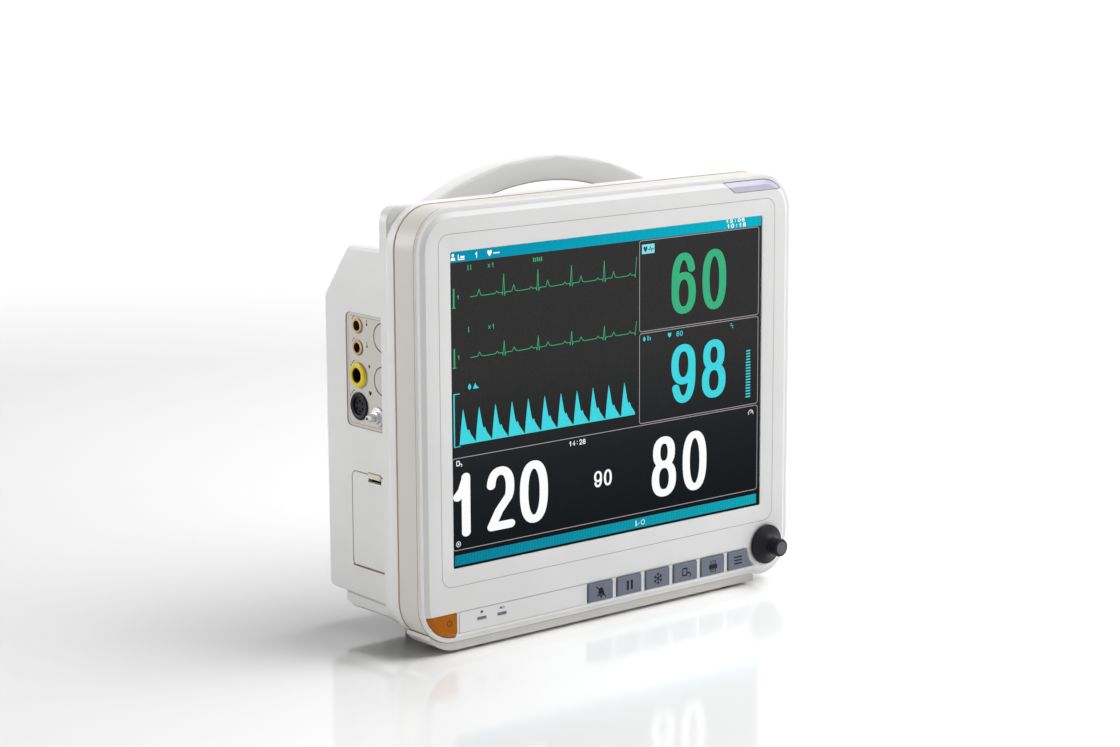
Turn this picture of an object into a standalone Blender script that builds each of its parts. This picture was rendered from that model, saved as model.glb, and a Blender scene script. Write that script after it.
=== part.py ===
"""Bedside patient monitor: flat colour display, six soft keys, a push-and-turn knob and side sockets.

Run with: blender --background --python part.py
All shapes are given in millimetres in the monitor's own layout: x to the right seen from the front,
depth from the display plane towards the back, height above a level just over the table. at() turns them into
metres, with the origin on the table below the middle of the monitor, +Y to the back and +Z up.
"""

import math

import bmesh
import bpy
from mathutils import Matrix, Vector

MM = 0.001
GAP = 0.3  # clearance between neighbouring pieces
TABLE = -1.4  # height of the table under the feet

# Overall depth, from the knob's tip to the end of the earth stud
KNOB_TIP = -17.8
STUD_END = 113.9
MID_DEPTH = (KNOB_TIP + STUD_END) / 2

# Display opening: a 12.1 inch 4:3 panel with a 1 mm margin all round
SCREEN_HALF = 124.0
SCREEN_BASE = 50.0
SCREEN_TOP = 236.5

# Front unit
CASE_HALF = 148.8
CASE_BASE = 5.8
CASE_TOP = 262.5
CASE_RADIUS = 25.0
RIM_FRONT = -0.3
RIM_BACK = 1.0
PLATE_FRONT = -2.0
PLATE_MARGIN = 3.1  # from the case outline to the foot of the plate's chamfer
CHAMFER = 2.9
FRAME_FRONT = RIM_BACK + GAP
FRAME_BACK = 20.0
WALL = 2.5

# Rear shell
SHELL_FRONT = FRAME_BACK + GAP
SHOULDER = 27.0
FLANGE_BACK = 37.5
BOX_HALF = 138.5
BOX_BACK = 105.0

# Control strip along the bottom of the front plate
POWER_EDGE = -122.9
STRIP_LEFT = -121.4
STRIP_BASE = 11.0
STRIP_TOP = 24.2
KEY_FIRST = -22.8
KEY_PITCH = 23.4
KEY_SLOT = 20.2
KEY_BASE = 11.5
KEY_TOP = 23.7
KEY_PROUD = 1.3
KEY_NAMES = ("silence", "pause", "freeze", "cuff", "print", "menu")
LED_CENTRES = (-104.5, -89.2)
LED_WIDTH = 7.0
LED_HEIGHT = 1.9
LED_LEVEL = 17.6

# Knob
KNOB_X = 127.2
KNOB_Z = 24.2
KNOB_RADIUS = 12.7
KNOB_BASE = -3.1
BOSS_RADIUS = 20.5
BOSS_COLLAR = 15.3

# Side sockets, as (depth, height) on the left wall
PANEL_OUT = -(BOX_HALF - 0.6)
PANEL_THICK = 2.0
PANEL_FRONT = 38.3
PANEL_REAR = 82.6
PANEL_BASE = 125.4
PANEL_TOP = 194.2
TEMPERATURE_JACKS = ((71.0, 186.6), (71.0, 173.5))
PULSE_SOCKET = (70.4, 157.0)
HEART_SOCKET = (70.3, 138.3)
BLANK_PLUGS = ((46.9, 182.1), (46.9, 156.3))
CUFF_FITTING = (51.6, 134.5)

# Battery door, hinged along its bottom edge
DOOR_FRONT = 38.3
DOOR_REAR = 78.6
DOOR_BASE = 39.8
DOOR_TOP = 98.3
DOOR_THICK = 2.6
BEAD_RADIUS = 1.7
LATCH_FRONT = 49.7
LATCH_REAR = 61.9
LATCH_BASE = 96.0
LATCH_TOP = 99.3

# Handle: two arcs about one centre
HANDLE_FRONT = 63.5
HANDLE_BACK = 77.5
HANDLE_OUTER = 183.2
HANDLE_INNER = 167.2
HANDLE_CENTRE = 95.0
HANDLE_FOOT = 234.8

SCREW_PLACES = ((-125.0, 32.0), (125.0, 32.0), (-100.0, 190.0), (100.0, 190.0))
FOOT_X = 100.0
REAR_FOOT_DEPTH = 64.0
FRONT_FOOT_DEPTH = 12.6

FINISHES = {
    "case_white": ((0.80, 0.80, 0.79), 0.38, 0.0),
    "case_grey": ((0.62, 0.63, 0.60), 0.35, 0.0),
    "panel_grey": ((0.66, 0.66, 0.62), 0.5, 0.0),
    "key_blue_grey": ((0.25, 0.27, 0.35), 0.5, 0.0),
    "orange": ((0.62, 0.19, 0.01), 0.35, 0.0),
    "charcoal": ((0.03, 0.03, 0.035), 0.35, 0.0),
    "lens": ((0.68, 0.68, 0.78), 0.2, 0.0),
    "screen": ((0.02, 0.02, 0.02), 0.1, 0.0),
    "yellow": ((0.80, 0.66, 0.03), 0.35, 0.0),
    "cream": ((0.80, 0.70, 0.55), 0.45, 0.0),
    "rubber": ((0.03, 0.03, 0.03), 0.8, 0.0),
    "steel": ((0.60, 0.60, 0.62), 0.3, 1.0),
    "brass": ((0.75, 0.58, 0.30), 0.25, 1.0),
    "board": ((0.03, 0.20, 0.09), 0.5, 0.0),
}

for old in list(bpy.data.objects):
    bpy.data.objects.remove(old)
parts = bpy.data.collections.new("patient_monitor")
cutters = bpy.data.collections.new("cutters")
bpy.context.scene.collection.children.link(parts)
bpy.context.scene.collection.children.link(cutters)


# ---------------------------------------------------------------- helpers
def at(x, depth, height):
    """A point of the monitor's layout, in metres."""
    return Vector((x * MM, (depth - MID_DEPTH) * MM, (height - TABLE) * MM))


def finish(obj, kind):
    """Gives a piece a material of its own, in one of the finishes above."""
    colour, roughness, metallic = FINISHES[kind]
    material = bpy.data.materials.new(obj.name)
    material.use_nodes = True
    shader = material.node_tree.nodes["Principled BSDF"]
    shader.inputs["Base Color"].default_value = (*colour, 1.0)
    shader.inputs["Roughness"].default_value = roughness
    shader.inputs["Metallic"].default_value = metallic
    obj.data.materials.clear()
    obj.data.materials.append(material)
    return obj


def object_from(name, bm, helper):
    """A bmesh as an object: a part, or a hidden helper for a Boolean."""
    bmesh.ops.recalc_face_normals(bm, faces=bm.faces)
    mesh = bpy.data.meshes.new(name)
    bm.to_mesh(mesh)
    bm.free()
    obj = bpy.data.objects.new(name, mesh)
    (cutters if helper else parts).objects.link(obj)
    if helper:
        obj.hide_render = True
        obj.display_type = "WIRE"
    return obj


def arc(centre_a, centre_b, radius, start, end, steps):
    """Points along an arc, with angles in degrees."""
    turns = [math.radians(start + (end - start) * i / steps) for i in range(steps + 1)]
    return [(centre_a + radius * math.cos(t), centre_b + radius * math.sin(t)) for t in turns]


def rounded(low_a, high_a, low_b, high_b, radius, steps=8, top=None):
    """A rectangle with round corners, as points running anticlockwise. top is the upper corners' radius."""
    top = top or radius
    return (
        arc(low_a + radius, low_b + radius, radius, 180, 270, steps)
        + arc(high_a - radius, low_b + radius, radius, 270, 360, steps)
        + arc(high_a - top, high_b - top, top, 0, 90, steps)
        + arc(low_a + top, high_b - top, top, 90, 180, steps)
    )


def circle(centre_a, centre_b, radius, steps=64):
    """A circle's points running anticlockwise."""
    return arc(centre_a, centre_b, radius, 0, 360, steps)[:-1]


def case_outline(inset=0.0, radius=CASE_RADIUS):
    """The front unit's outline, drawn in by inset."""
    edge = CASE_HALF - inset
    return rounded(-edge, edge, CASE_BASE + inset, CASE_TOP - inset, radius - inset)


def loft(name, sections, plane="front", closed=False, helper=False):
    """A solid through outlines of equal length, each with its place along the plane's normal.

    plane "front" takes (x, height) points at a depth, "side" takes (depth, height) points at an x, and
    "plan" takes (x, depth) points at a height. closed joins the last outline to the first, as in a ring.
    """
    place = {
        "front": lambda a, b, c: at(a, c, b),
        "side": lambda a, b, c: at(c, a, b),
        "plan": lambda a, b, c: at(a, b, c),
    }[plane]
    bm = bmesh.new()
    rings = [[bm.verts.new(place(a, b, level)) for a, b in outline] for outline, level in sections]
    for ring in rings:
        for i, vert in enumerate(ring):
            bm.edges.new((vert, ring[i - 1]))
    pairs = list(zip(rings, rings[1:] + rings[:1] if closed else rings[1:]))
    for first, second in pairs:
        for i in range(len(first)):
            bm.faces.new((first[i - 1], first[i], second[i], second[i - 1]))
    if not closed:
        bm.faces.new(rings[0])
        bm.faces.new(rings[-1])
    return object_from(name, bm, helper)


def slab(name, outline, low, high, plane="front", helper=False):
    return loft(name, [(outline, low), (outline, high)], plane, helper=helper)


def blocks(name, boxes, helper=False):
    """Boxes given as (x0, x1, depth0, depth1, height0, height1), in one object."""
    bm = bmesh.new()
    for x0, x1, y0, y1, z0, z1 in boxes:
        for vert in bmesh.ops.create_cube(bm, size=1.0)["verts"]:
            x, y, z = vert.co
            vert.co = at(x1 if x > 0 else x0, y1 if y > 0 else y0, z1 if z > 0 else z0)
    return object_from(name, bm, helper)


def block(name, x0, x1, y0, y1, z0, z1, edge=0.0, helper=False):
    """A box, with its edges rounded by edge."""
    obj = blocks(name, [(x0, x1, y0, y1, z0, z1)], helper)
    if edge:
        soften(obj, edge)
    return obj


def soften(obj, width, segments=2, angle=30):
    bevel = obj.modifiers.new("soften", "BEVEL")
    bevel.width = width * MM
    bevel.segments = segments
    bevel.limit_method = "ANGLE"
    bevel.angle_limit = math.radians(angle)


def cylinder(name, centre, radius, length, facing, steps=32, helper=False):
    """A cylinder that starts at centre and runs length along facing."""
    bm = bmesh.new()
    turn = Vector(facing).to_track_quat("Z", "Y").to_matrix().to_4x4()
    middle = at(*centre) + Vector(facing) * length * MM / 2
    bmesh.ops.create_cone(
        bm,
        cap_ends=True,
        segments=steps,
        radius1=radius * MM,
        radius2=radius * MM,
        depth=length * MM,
        matrix=Matrix.Translation(middle) @ turn,
    )
    return object_from(name, bm, helper)


def turned(name, centre, facing, profile, steps=32, helper=False):
    """A turned piece. The profile's (radius, along) points run down its outer side as seen with facing up."""
    bm = bmesh.new()
    verts = [bm.verts.new((radius * MM, 0, along * MM)) for radius, along in profile]
    for first, second in zip(verts, verts[1:]):
        bm.edges.new((first, second))
    if profile[0][0] > 0:
        bm.edges.new((verts[-1], verts[0]))
    mesh = bpy.data.meshes.new(name)
    bm.to_mesh(mesh)
    bm.free()
    obj = bpy.data.objects.new(name, mesh)
    (cutters if helper else parts).objects.link(obj)
    screw = obj.modifiers.new("turn", "SCREW")
    screw.axis = "Z"
    screw.steps = steps
    screw.render_steps = steps
    screw.use_merge_vertices = True
    screw.merge_threshold = 0.00001
    obj.location = at(*centre)
    obj.rotation_euler = Vector(facing).to_track_quat("Z", "Y").to_euler()
    if helper:
        obj.hide_render = True
        obj.display_type = "WIRE"
    return obj


def boolean(obj, other, operation):
    modifier = obj.modifiers.new(other.name, "BOOLEAN")
    modifier.operation = operation
    modifier.object = other
    modifier.solver = "EXACT"
    return obj


def cut(obj, *others):
    for other in others:
        boolean(obj, other, "DIFFERENCE")
    return obj


def fuse(obj, *others):
    for other in others:
        boolean(obj, other, "UNION")
    return obj


def keep(obj, other):
    return boolean(obj, other, "INTERSECT")


def set_origin(obj, point):
    """Moves the origin of a piece built in place to a point on its joint's axis."""
    obj.data.transform(Matrix.Translation(-point))
    obj.location = point
    return obj


def smooth(obj, angle=35):
    obj.data.shade_smooth()
    obj.data.set_sharp_from_angle(angle=math.radians(angle))
    return obj


# ---------------------------------------------------------------- front plate and its regions
def plate_solid(name, grow=0.0, front=PLATE_FRONT, back=RIM_FRONT, straight=0.4, helper=True):
    """The raised plate: its chamfered outline, standing on a straight foot."""
    foot = case_outline(PLATE_MARGIN - grow)
    top = case_outline(PLATE_MARGIN + CHAMFER - grow)
    return loft(name, [(foot, back + straight), (foot, back), (top, front)], helper=helper)


def boss_outline(inset):
    """The round corner under the knob, drawn in by inset."""
    return circle(KNOB_X, KNOB_Z, BOSS_RADIUS - inset)


def boss_solid(name):
    """The round corner's raised part, chamfered like the plate."""
    foot = boss_outline(PLATE_MARGIN)
    top = boss_outline(PLATE_MARGIN + CHAMFER)
    return loft(name, [(foot, RIM_FRONT + 0.4), (foot, RIM_FRONT), (top, PLATE_FRONT)], helper=True)


def power_region(grow):
    """The plate's bottom left corner, which is the power button."""
    edge = POWER_EDGE + grow
    top = STRIP_TOP - 0.1 + grow
    return [(-160.0, 0.0), (edge, 0.0), (edge, top), (-160.0, top)]


def alarm_region(grow):
    """The plate's top right corner, which is the alarm light. Its left end slants."""
    low = 252.4 - grow
    return [
        (98.6 - 1.2 * grow, low),
        (160.0, low),
        (160.0, 270.0),
        (75.3 - 1.2 * grow, 270.0),
        (89.6 - 1.2 * grow, 259.2),
    ]


def strip_outline(inset):
    """The control strip, whose right end is hollowed round the knob."""
    radius = BOSS_COLLAR + inset
    low = STRIP_BASE + inset
    high = STRIP_TOP - inset
    start = 180 + math.degrees(math.asin((KNOB_Z - high) / radius))
    end = 180 + math.degrees(math.asin((KNOB_Z - low) / radius))
    left = [(STRIP_LEFT + inset, high), (STRIP_LEFT + inset, low)]
    return left + arc(KNOB_X, KNOB_Z, radius, end, start, 10)


def make_front_bezel():
    rim = loft(
        "front_bezel",
        [
            (case_outline(), RIM_BACK),
            (case_outline(), RIM_FRONT + 1.1),
            (case_outline(0.35), RIM_FRONT + 0.35),
            (case_outline(1.1), RIM_FRONT),
        ],
    )
    corner = loft(
        "bezel_corner",
        [
            (boss_outline(0), RIM_BACK),
            (boss_outline(0), RIM_FRONT + 1.1),
            (boss_outline(0.35), RIM_FRONT + 0.35),
            (boss_outline(1.1), RIM_FRONT),
        ],
        helper=True,
    )
    fuse(rim, corner, plate_solid("bezel_plate"), boss_solid("bezel_boss"))
    cut(rim, slab("bezel_hollow", case_outline(4.2), 0.2, 9.0, helper=True))
    tongue = [
        (case_outline(2.7), 0.5),
        (case_outline(2.7), 6.0),
        (case_outline(4.8), 6.0),
        (case_outline(4.8), 0.5),
    ]
    fuse(rim, loft("bezel_tongue", tongue, closed=True, helper=True))
    funnel = [
        (rounded(-140.25, 140.25, 36.0, 251.4, 9.5, 4), -3.0),
        (rounded(-133.25, 133.25, 40.0, 247.0, 7.0, 4), PLATE_FRONT),
        (rounded(-SCREEN_HALF, SCREEN_HALF, SCREEN_BASE, SCREEN_TOP, 1.2, 4), -0.7),
        (rounded(-SCREEN_HALF, SCREEN_HALF, SCREEN_BASE, SCREEN_TOP, 1.2, 4), 3.0),
    ]
    cut(rim, loft("bezel_funnel", funnel, helper=True))
    cut(rim, slab("bezel_strip_slot", strip_outline(0), -5.0, 3.0, helper=True))
    whole = slab("bezel_corner_slot", case_outline(PLATE_MARGIN - 0.1), -5.0, 3.0, helper=True)
    lower = slab("bezel_power_slot", power_region(0), -4.0, 2.0, helper=True)
    upper = slab("bezel_alarm_slot", alarm_region(0), -4.0, 2.0, helper=True)
    cut(rim, keep(lower, whole), keep(upper, whole))
    for side, region in (("power", power_region(0)), ("alarm", alarm_region(0))):
        cut(rim, slab(f"bezel_{side}_relief", region, 0.7, 8.0, helper=True))
    cut(rim, cylinder("bezel_shaft_hole", (KNOB_X, 3, KNOB_Z), 4.3, 8, (0, -1, 0), 24, True))
    return finish(smooth(rim), "case_white")


def make_button_strip():
    strip = slab("button_strip", strip_outline(GAP), PLATE_FRONT, 0.2)
    slots = [
        (KEY_FIRST + KEY_PITCH * i, KEY_FIRST + KEY_PITCH * i + KEY_SLOT, -4, 2, KEY_BASE, KEY_TOP)
        for i in range(len(KEY_NAMES) - 1)
    ]
    for centre in LED_CENTRES:
        half = LED_WIDTH / 2
        tall = LED_HEIGHT / 2
        slots.append((centre - half, centre + half, -4, 2, LED_LEVEL - tall, LED_LEVEL + tall))
    cut(strip, blocks("strip_slots", slots, helper=True))
    cut(strip, slab("strip_last_slot", last_key_outline(0), -4, 2, helper=True))
    return finish(strip, "case_white")


def last_key_outline(inset):
    """The sixth key ends in a hollow curve beside the knob."""
    left = KEY_FIRST + KEY_PITCH * (len(KEY_NAMES) - 1) + inset
    radius = BOSS_COLLAR + 0.9 + inset
    low = KEY_BASE + inset
    high = KEY_TOP - inset
    start = 180 + math.degrees(math.asin((KNOB_Z - high) / radius))
    end = 180 + math.degrees(math.asin((KNOB_Z - low) / radius))
    return [(left, high), (left, low)] + arc(KNOB_X, KNOB_Z, radius, end, start, 8)


def make_keys():
    for i, name in enumerate(KEY_NAMES):
        left = KEY_FIRST + KEY_PITCH * i
        right = left + KEY_SLOT
        front = PLATE_FRONT - KEY_PROUD
        if i < len(KEY_NAMES) - 1:
            key = block(
                f"key_{name}", left + GAP, right - GAP, front, 1.3, KEY_BASE + GAP, KEY_TOP - GAP, 0.5
            )
        else:
            key = slab(f"key_{name}", last_key_outline(GAP), front, 1.3)
            soften(key, 0.5)
            right = left + 17.0
        fuse(key, block(f"key_{name}_lip", left - 0.4, right + 0.3, 0.5, 1.1, 11.2, 24.4, helper=True))
        set_origin(key, at((left + right) / 2, front, (KEY_BASE + KEY_TOP) / 2))
        finish(key, "key_blue_grey")


def make_power_button():
    button = plate_solid("power_button", grow=-GAP, front=PLATE_FRONT - 0.1, helper=False)
    keep(button, slab("power_shape", power_region(-GAP), -4.0, 2.5, helper=True))
    fuse(button, block("power_stem", -132, -124.5, -0.4, 3.4, 15, 21, helper=True))
    set_origin(button, at(-132.0, PLATE_FRONT, 18.0))
    return finish(smooth(button, 28), "orange")


def make_alarm_light():
    lens = plate_solid("alarm_light", grow=-GAP, helper=False)
    keep(lens, slab("alarm_shape", alarm_region(-GAP), -4.0, 2.5, helper=True))
    fuse(lens, block("alarm_light_pipe", 102, 134, -0.4, 2.4, 253.2, 256.4, helper=True))
    return finish(smooth(lens, 28), "lens")


def make_indicator_windows():
    for name, centre in zip(("mains_indicator", "battery_indicator"), LED_CENTRES):
        half = LED_WIDTH / 2 - 0.15
        tall = LED_HEIGHT / 2 - 0.15
        low, high = LED_LEVEL - tall, LED_LEVEL + tall
        window = block(name, centre - half, centre + half, PLATE_FRONT + 0.1, 3.6, low, high)
        finish(window, "key_blue_grey")


def make_knob():
    knob = turned(
        "control_knob",
        (KNOB_X, 0, KNOB_Z),
        (0, -1, 0),
        [
            (0, -KNOB_TIP),
            (4.4, -KNOB_TIP),
            (5.5, -KNOB_TIP - 0.5),
            (5.9, -KNOB_TIP - 1.5),
            (5.7, -KNOB_TIP - 4.5),
            (5.5, -KNOB_TIP - 7.5),
            (6.2, -KNOB_TIP - 9.3),
            (8.2, -KNOB_TIP - 11.1),
            (11.4, -KNOB_TIP - 12.6),
            (KNOB_RADIUS, -KNOB_TIP - 13.2),
            (KNOB_RADIUS, -KNOB_BASE),
            (3.3, -KNOB_BASE),
            (3.3, 13.3),
            (0, 13.3),
        ],
        48,
    )
    finish(smooth(knob), "charcoal")
    shaft = cylinder("encoder_shaft", (KNOB_X, 6.2, KNOB_Z), 3.0, 19.2, (0, -1, 0), 24)
    set_origin(shaft, at(KNOB_X, 0, KNOB_Z))
    finish(smooth(shaft), "steel")
    body = block("encoder_body", KNOB_X - 7, KNOB_X + 7, 2.2, 11.0, KNOB_Z - 7, KNOB_Z + 7)
    fuse(body, cylinder("encoder_bush", (KNOB_X, 3.0, KNOB_Z), 4.0, 4.8, (0, -1, 0), 24, True))
    cut(body, cylinder("encoder_bore", (KNOB_X, 7.0, KNOB_Z), 3.3, 12.0, (0, -1, 0), 24, True))
    cut(body, cylinder("encoder_cup", (KNOB_X, 13.0, KNOB_Z), 4.2, 6.8, (0, -1, 0), 24, True))
    finish(body, "steel")
    plunger = cylinder("encoder_plunger", (KNOB_X, 8.3, KNOB_Z), 3.8, 1.8, (0, -1, 0), 24)
    set_origin(plunger, at(KNOB_X, 8.3, KNOB_Z))
    finish(plunger, "charcoal")


# ---------------------------------------------------------------- casing
def make_middle_frame():
    frame = slab("middle_frame", case_outline(0.3), FRAME_FRONT, FRAME_BACK)
    fuse(frame, slab("frame_corner", boss_outline(0.3), FRAME_FRONT, 17.3, helper=True))
    cut(frame, slab("frame_hollow", case_outline(0.3 + WALL - 0.4), -1.0, 40.0, helper=True))
    return finish(smooth(frame), "case_grey")


def flange_outline(inset, half, base, top, radius, top_radius=None):
    upper = (top_radius or radius) - inset
    return rounded(-half + inset, half - inset, base + inset, top - inset, radius - inset, top=upper)


def flange_sections(inset, front, back):
    """The rear shell's front part: it starts as the case outline and steps in to a squarer one."""
    wide = (inset, CASE_HALF, CASE_BASE, CASE_TOP)
    narrow = (inset, 146.9, 11.0, 261.8)
    return [
        (flange_outline(*wide, CASE_RADIUS), front),
        (flange_outline(*wide, CASE_RADIUS), SHOULDER - 1.0),
        (flange_outline(inset + 0.8, *wide[1:], CASE_RADIUS - 1.0), SHOULDER + 0.8),
        (flange_outline(*narrow, 16.0, 11.0), SHOULDER + 2.6),
        (flange_outline(*narrow, 16.0, 9.0), back - 1.6 if not inset else back),
    ] + ([] if inset else [(flange_outline(1.4, *narrow[1:], 16.0, 9.0), back)])


def box_profile(inset):
    """The rear box from the side: a flat back with a long slope above it."""
    front = 34.0 if not inset else 30.0
    slope = 0.6 * inset
    return [
        (front, 19.5 + inset),
        (BOX_BACK - inset, 22.0 + inset),
        (BOX_BACK - inset, 202.0 - slope / 2),
        (80.2 - slope, 234.0 - inset),
        (front, 235.0 - inset),
    ]


def make_rear_shell():
    shell = loft("rear_shell", flange_sections(0, SHELL_FRONT, FLANGE_BACK))
    box = slab("shell_box", box_profile(0), -BOX_HALF, BOX_HALF, "side", True)
    soften(box, 3.0)
    fuse(shell, box)
    cut(shell, loft("shell_hollow", flange_sections(WALL, SHELL_FRONT - 2, 35.0), helper=True))
    inner = BOX_HALF - WALL
    cut(shell, slab("shell_box_hollow", box_profile(WALL), -inner, inner, "side", True))
    for i, (x, height) in enumerate(SCREW_PLACES):
        post = cylinder(f"post_{i}", (x, 62.0, height), 5.0, BOX_BACK - 63.0, (0, 1, 0), 20, True)
        fuse(shell, post)
        cut(
            shell,
            cylinder(f"post_bore_{i}", (x, 60.0, height), 1.9, 45.0, (0, 1, 0), 16, True),
            cylinder(f"post_sink_{i}", (x, BOX_BACK - 4.5, height), 3.7, 8.0, (0, 1, 0), 20, True),
        )
    ears = [
        (-138.3, -132.5, 79.0, 84.0, DOOR_BASE - 3, DOOR_BASE + 5),
        (-138.3, -132.5, 33.0, 37.9, DOOR_BASE - 3, DOOR_BASE + 5),
    ]
    for i, ear in enumerate(ears):
        fuse(shell, blocks(f"hinge_ear_{i}", [ear], helper=True))
    front, rear = DOOR_FRONT - 0.1, DOOR_REAR + 0.1
    door = [(front, DOOR_BASE), (rear, DOOR_BASE)] + rounded(front, rear, 60.0, DOOR_TOP, 4.0, 4)[10:]
    cut(shell, slab("door_hole", door, -145, -130, "side", True))
    notch = (-145, -130, LATCH_FRONT - GAP, LATCH_REAR + GAP, DOOR_TOP - 4, LATCH_TOP + GAP)
    cut(shell, blocks("latch_notch", [notch], helper=True))
    cut(shell, hinge_bore("hinge_bore", 1.0, 30.0, 86.0))
    panel = rounded(PANEL_FRONT, PANEL_REAR, PANEL_BASE, PANEL_TOP, 4.0, 4)
    cut(shell, slab("panel_hole", panel, -145, -130, "side", True))
    cut(shell, blocks("rear_vents", rear_vents(), helper=True))
    cut(shell, blocks("side_vents", side_vents(), helper=True))
    cut(shell, blocks("inlet_hole", [(81.7, 110.3, 96, 110, 46.7, 69.3)], helper=True))
    cut(shell, cylinder("stud_hole", (60, 96, 58), 3.2, 15, (0, 1, 0), 20, True))
    return finish(smooth(shell), "case_white")


def hinge_bore(name, radius, start, end):
    centre = (-BOX_HALF + BEAD_RADIUS, start, DOOR_BASE + GAP + BEAD_RADIUS)
    return cylinder(name, centre, radius, end - start, (0, 1, 0), 16, True)


def rear_vents():
    """Two rows of upright slots across the back."""
    return [
        (x - 1.4, x + 1.4, BOX_BACK - 5, BOX_BACK + 5, base, base + 20)
        for base in (118.0, 146.0)
        for x in (-49.5 + 9 * i for i in range(12))
    ]


def side_vents():
    """Slots on the right wall: a tall row for air and a short one for the speaker."""
    air = [(133, 142, 50 + 6 * i, 52.4 + 6 * i, 52, 92) for i in range(6)]
    sound = [(133, 142, 56, 84, 152 + 5 * i, 154 + 5 * i) for i in range(6)]
    return air + sound


def make_base_skirt():
    """The strip under the front unit that follows its left corner and stops short of the knob."""
    outline = rounded(-146.5, 146.5, 0.6, 60.0, 25.0)
    skirt = slab("base_skirt", outline, FRAME_FRONT, 24.0)
    cut(skirt, slab("skirt_case", case_outline(-GAP), -5, 40, helper=True))
    span = block("skirt_span", -140.5, 120.5, -5, 40, -1.0, 24.0, helper=True)
    keep(skirt, span)
    cut(skirt, slab("skirt_corner", boss_outline(-GAP), -5, 45, helper=True))
    return finish(smooth(skirt), "case_grey")


def make_bottom_tray():
    profile = [(37.8, 12.0), (86.0, 12.0), (93.3, 14.4), (93.3, 21.3), (37.8, 19.3)]
    tray = slab("bottom_tray", profile, -134.5, 134.5, "side")
    soften(tray, 1.2, 1)
    return finish(tray, "case_white")


def make_handle():
    low = HANDLE_FOOT - HANDLE_CENTRE
    outer = math.degrees(math.asin(low / HANDLE_OUTER))
    inner = math.degrees(math.asin(low / HANDLE_INNER))
    outline = arc(0, HANDLE_CENTRE, HANDLE_OUTER, outer, 180 - outer, 24)
    outline += arc(0, HANDLE_CENTRE, HANDLE_INNER, 180 - inner, inner, 24)
    handle = slab("carry_handle", outline, HANDLE_FRONT, HANDLE_BACK)
    soften(handle, 2.2, 2)
    return finish(smooth(handle), "case_white")


def make_feet():
    for side, x in (("left", -FOOT_X), ("right", FOOT_X)):
        rear = turned(
            f"foot_rear_{side}",
            (x, REAR_FOOT_DEPTH, TABLE),
            (0, 0, 1),
            [(0, 13.1), (10.0, 13.1), (9.0, 0.8), (8.2, 0), (0, 0)],
            24,
        )
        front = cylinder(f"foot_front_{side}", (x, FRONT_FOOT_DEPTH, TABLE), 8.0, 1.7, (0, 0, 1), 24)
        finish(smooth(rear), "rubber")
        finish(front, "rubber")


def make_case_screws():
    for i, (x, height) in enumerate(SCREW_PLACES):
        screw = turned(
            f"case_screw_{i + 1}",
            (x, BOX_BACK - 1.9, height),
            (0, 1, 0),
            [(0, 0), (2.6, -0.2), (3.2, -0.9), (3.2, -2.2), (1.5, -2.2), (1.5, -30), (0, -31)],
            16,
        )
        slots = [
            (x - 1.9, x + 1.9, BOX_BACK - 2.9, BOX_BACK, height - 0.4, height + 0.4),
            (x - 0.4, x + 0.4, BOX_BACK - 2.9, BOX_BACK, height - 1.9, height + 1.9),
        ]
        for k, slot in enumerate(slots):
            cut(screw, blocks(f"screw_slot_{i}_{k}", [slot], helper=True))
        finish(screw, "steel")


# ---------------------------------------------------------------- side sockets
def make_connector_panel():
    outline = rounded(
        PANEL_FRONT + GAP, PANEL_REAR - GAP, PANEL_BASE + GAP, PANEL_TOP - GAP, 3.7, 4
    )
    panel = slab("connector_panel", outline, PANEL_OUT, PANEL_OUT + PANEL_THICK, "side")
    holes = [(place, 4.3) for place in TEMPERATURE_JACKS]
    holes += [(PULSE_SOCKET, 5.6), (HEART_SOCKET, 7.2), (CUFF_FITTING, 3.3)]
    holes += [(place, 8.9) for place in BLANK_PLUGS]
    for i, ((depth, height), radius) in enumerate(holes):
        hole = cylinder(f"panel_hole_{i}", (-145, depth, height), radius, 12, (1, 0, 0), 32, True)
        cut(panel, hole)
    return finish(panel, "panel_grey")


def socket(name, place, profile, steps=32):
    """A piece turned about a line through the panel. Its profile is measured outwards from the panel."""
    depth, height = place
    return smooth(turned(name, (PANEL_OUT, depth, height), (-1, 0, 0), profile, steps))


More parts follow.
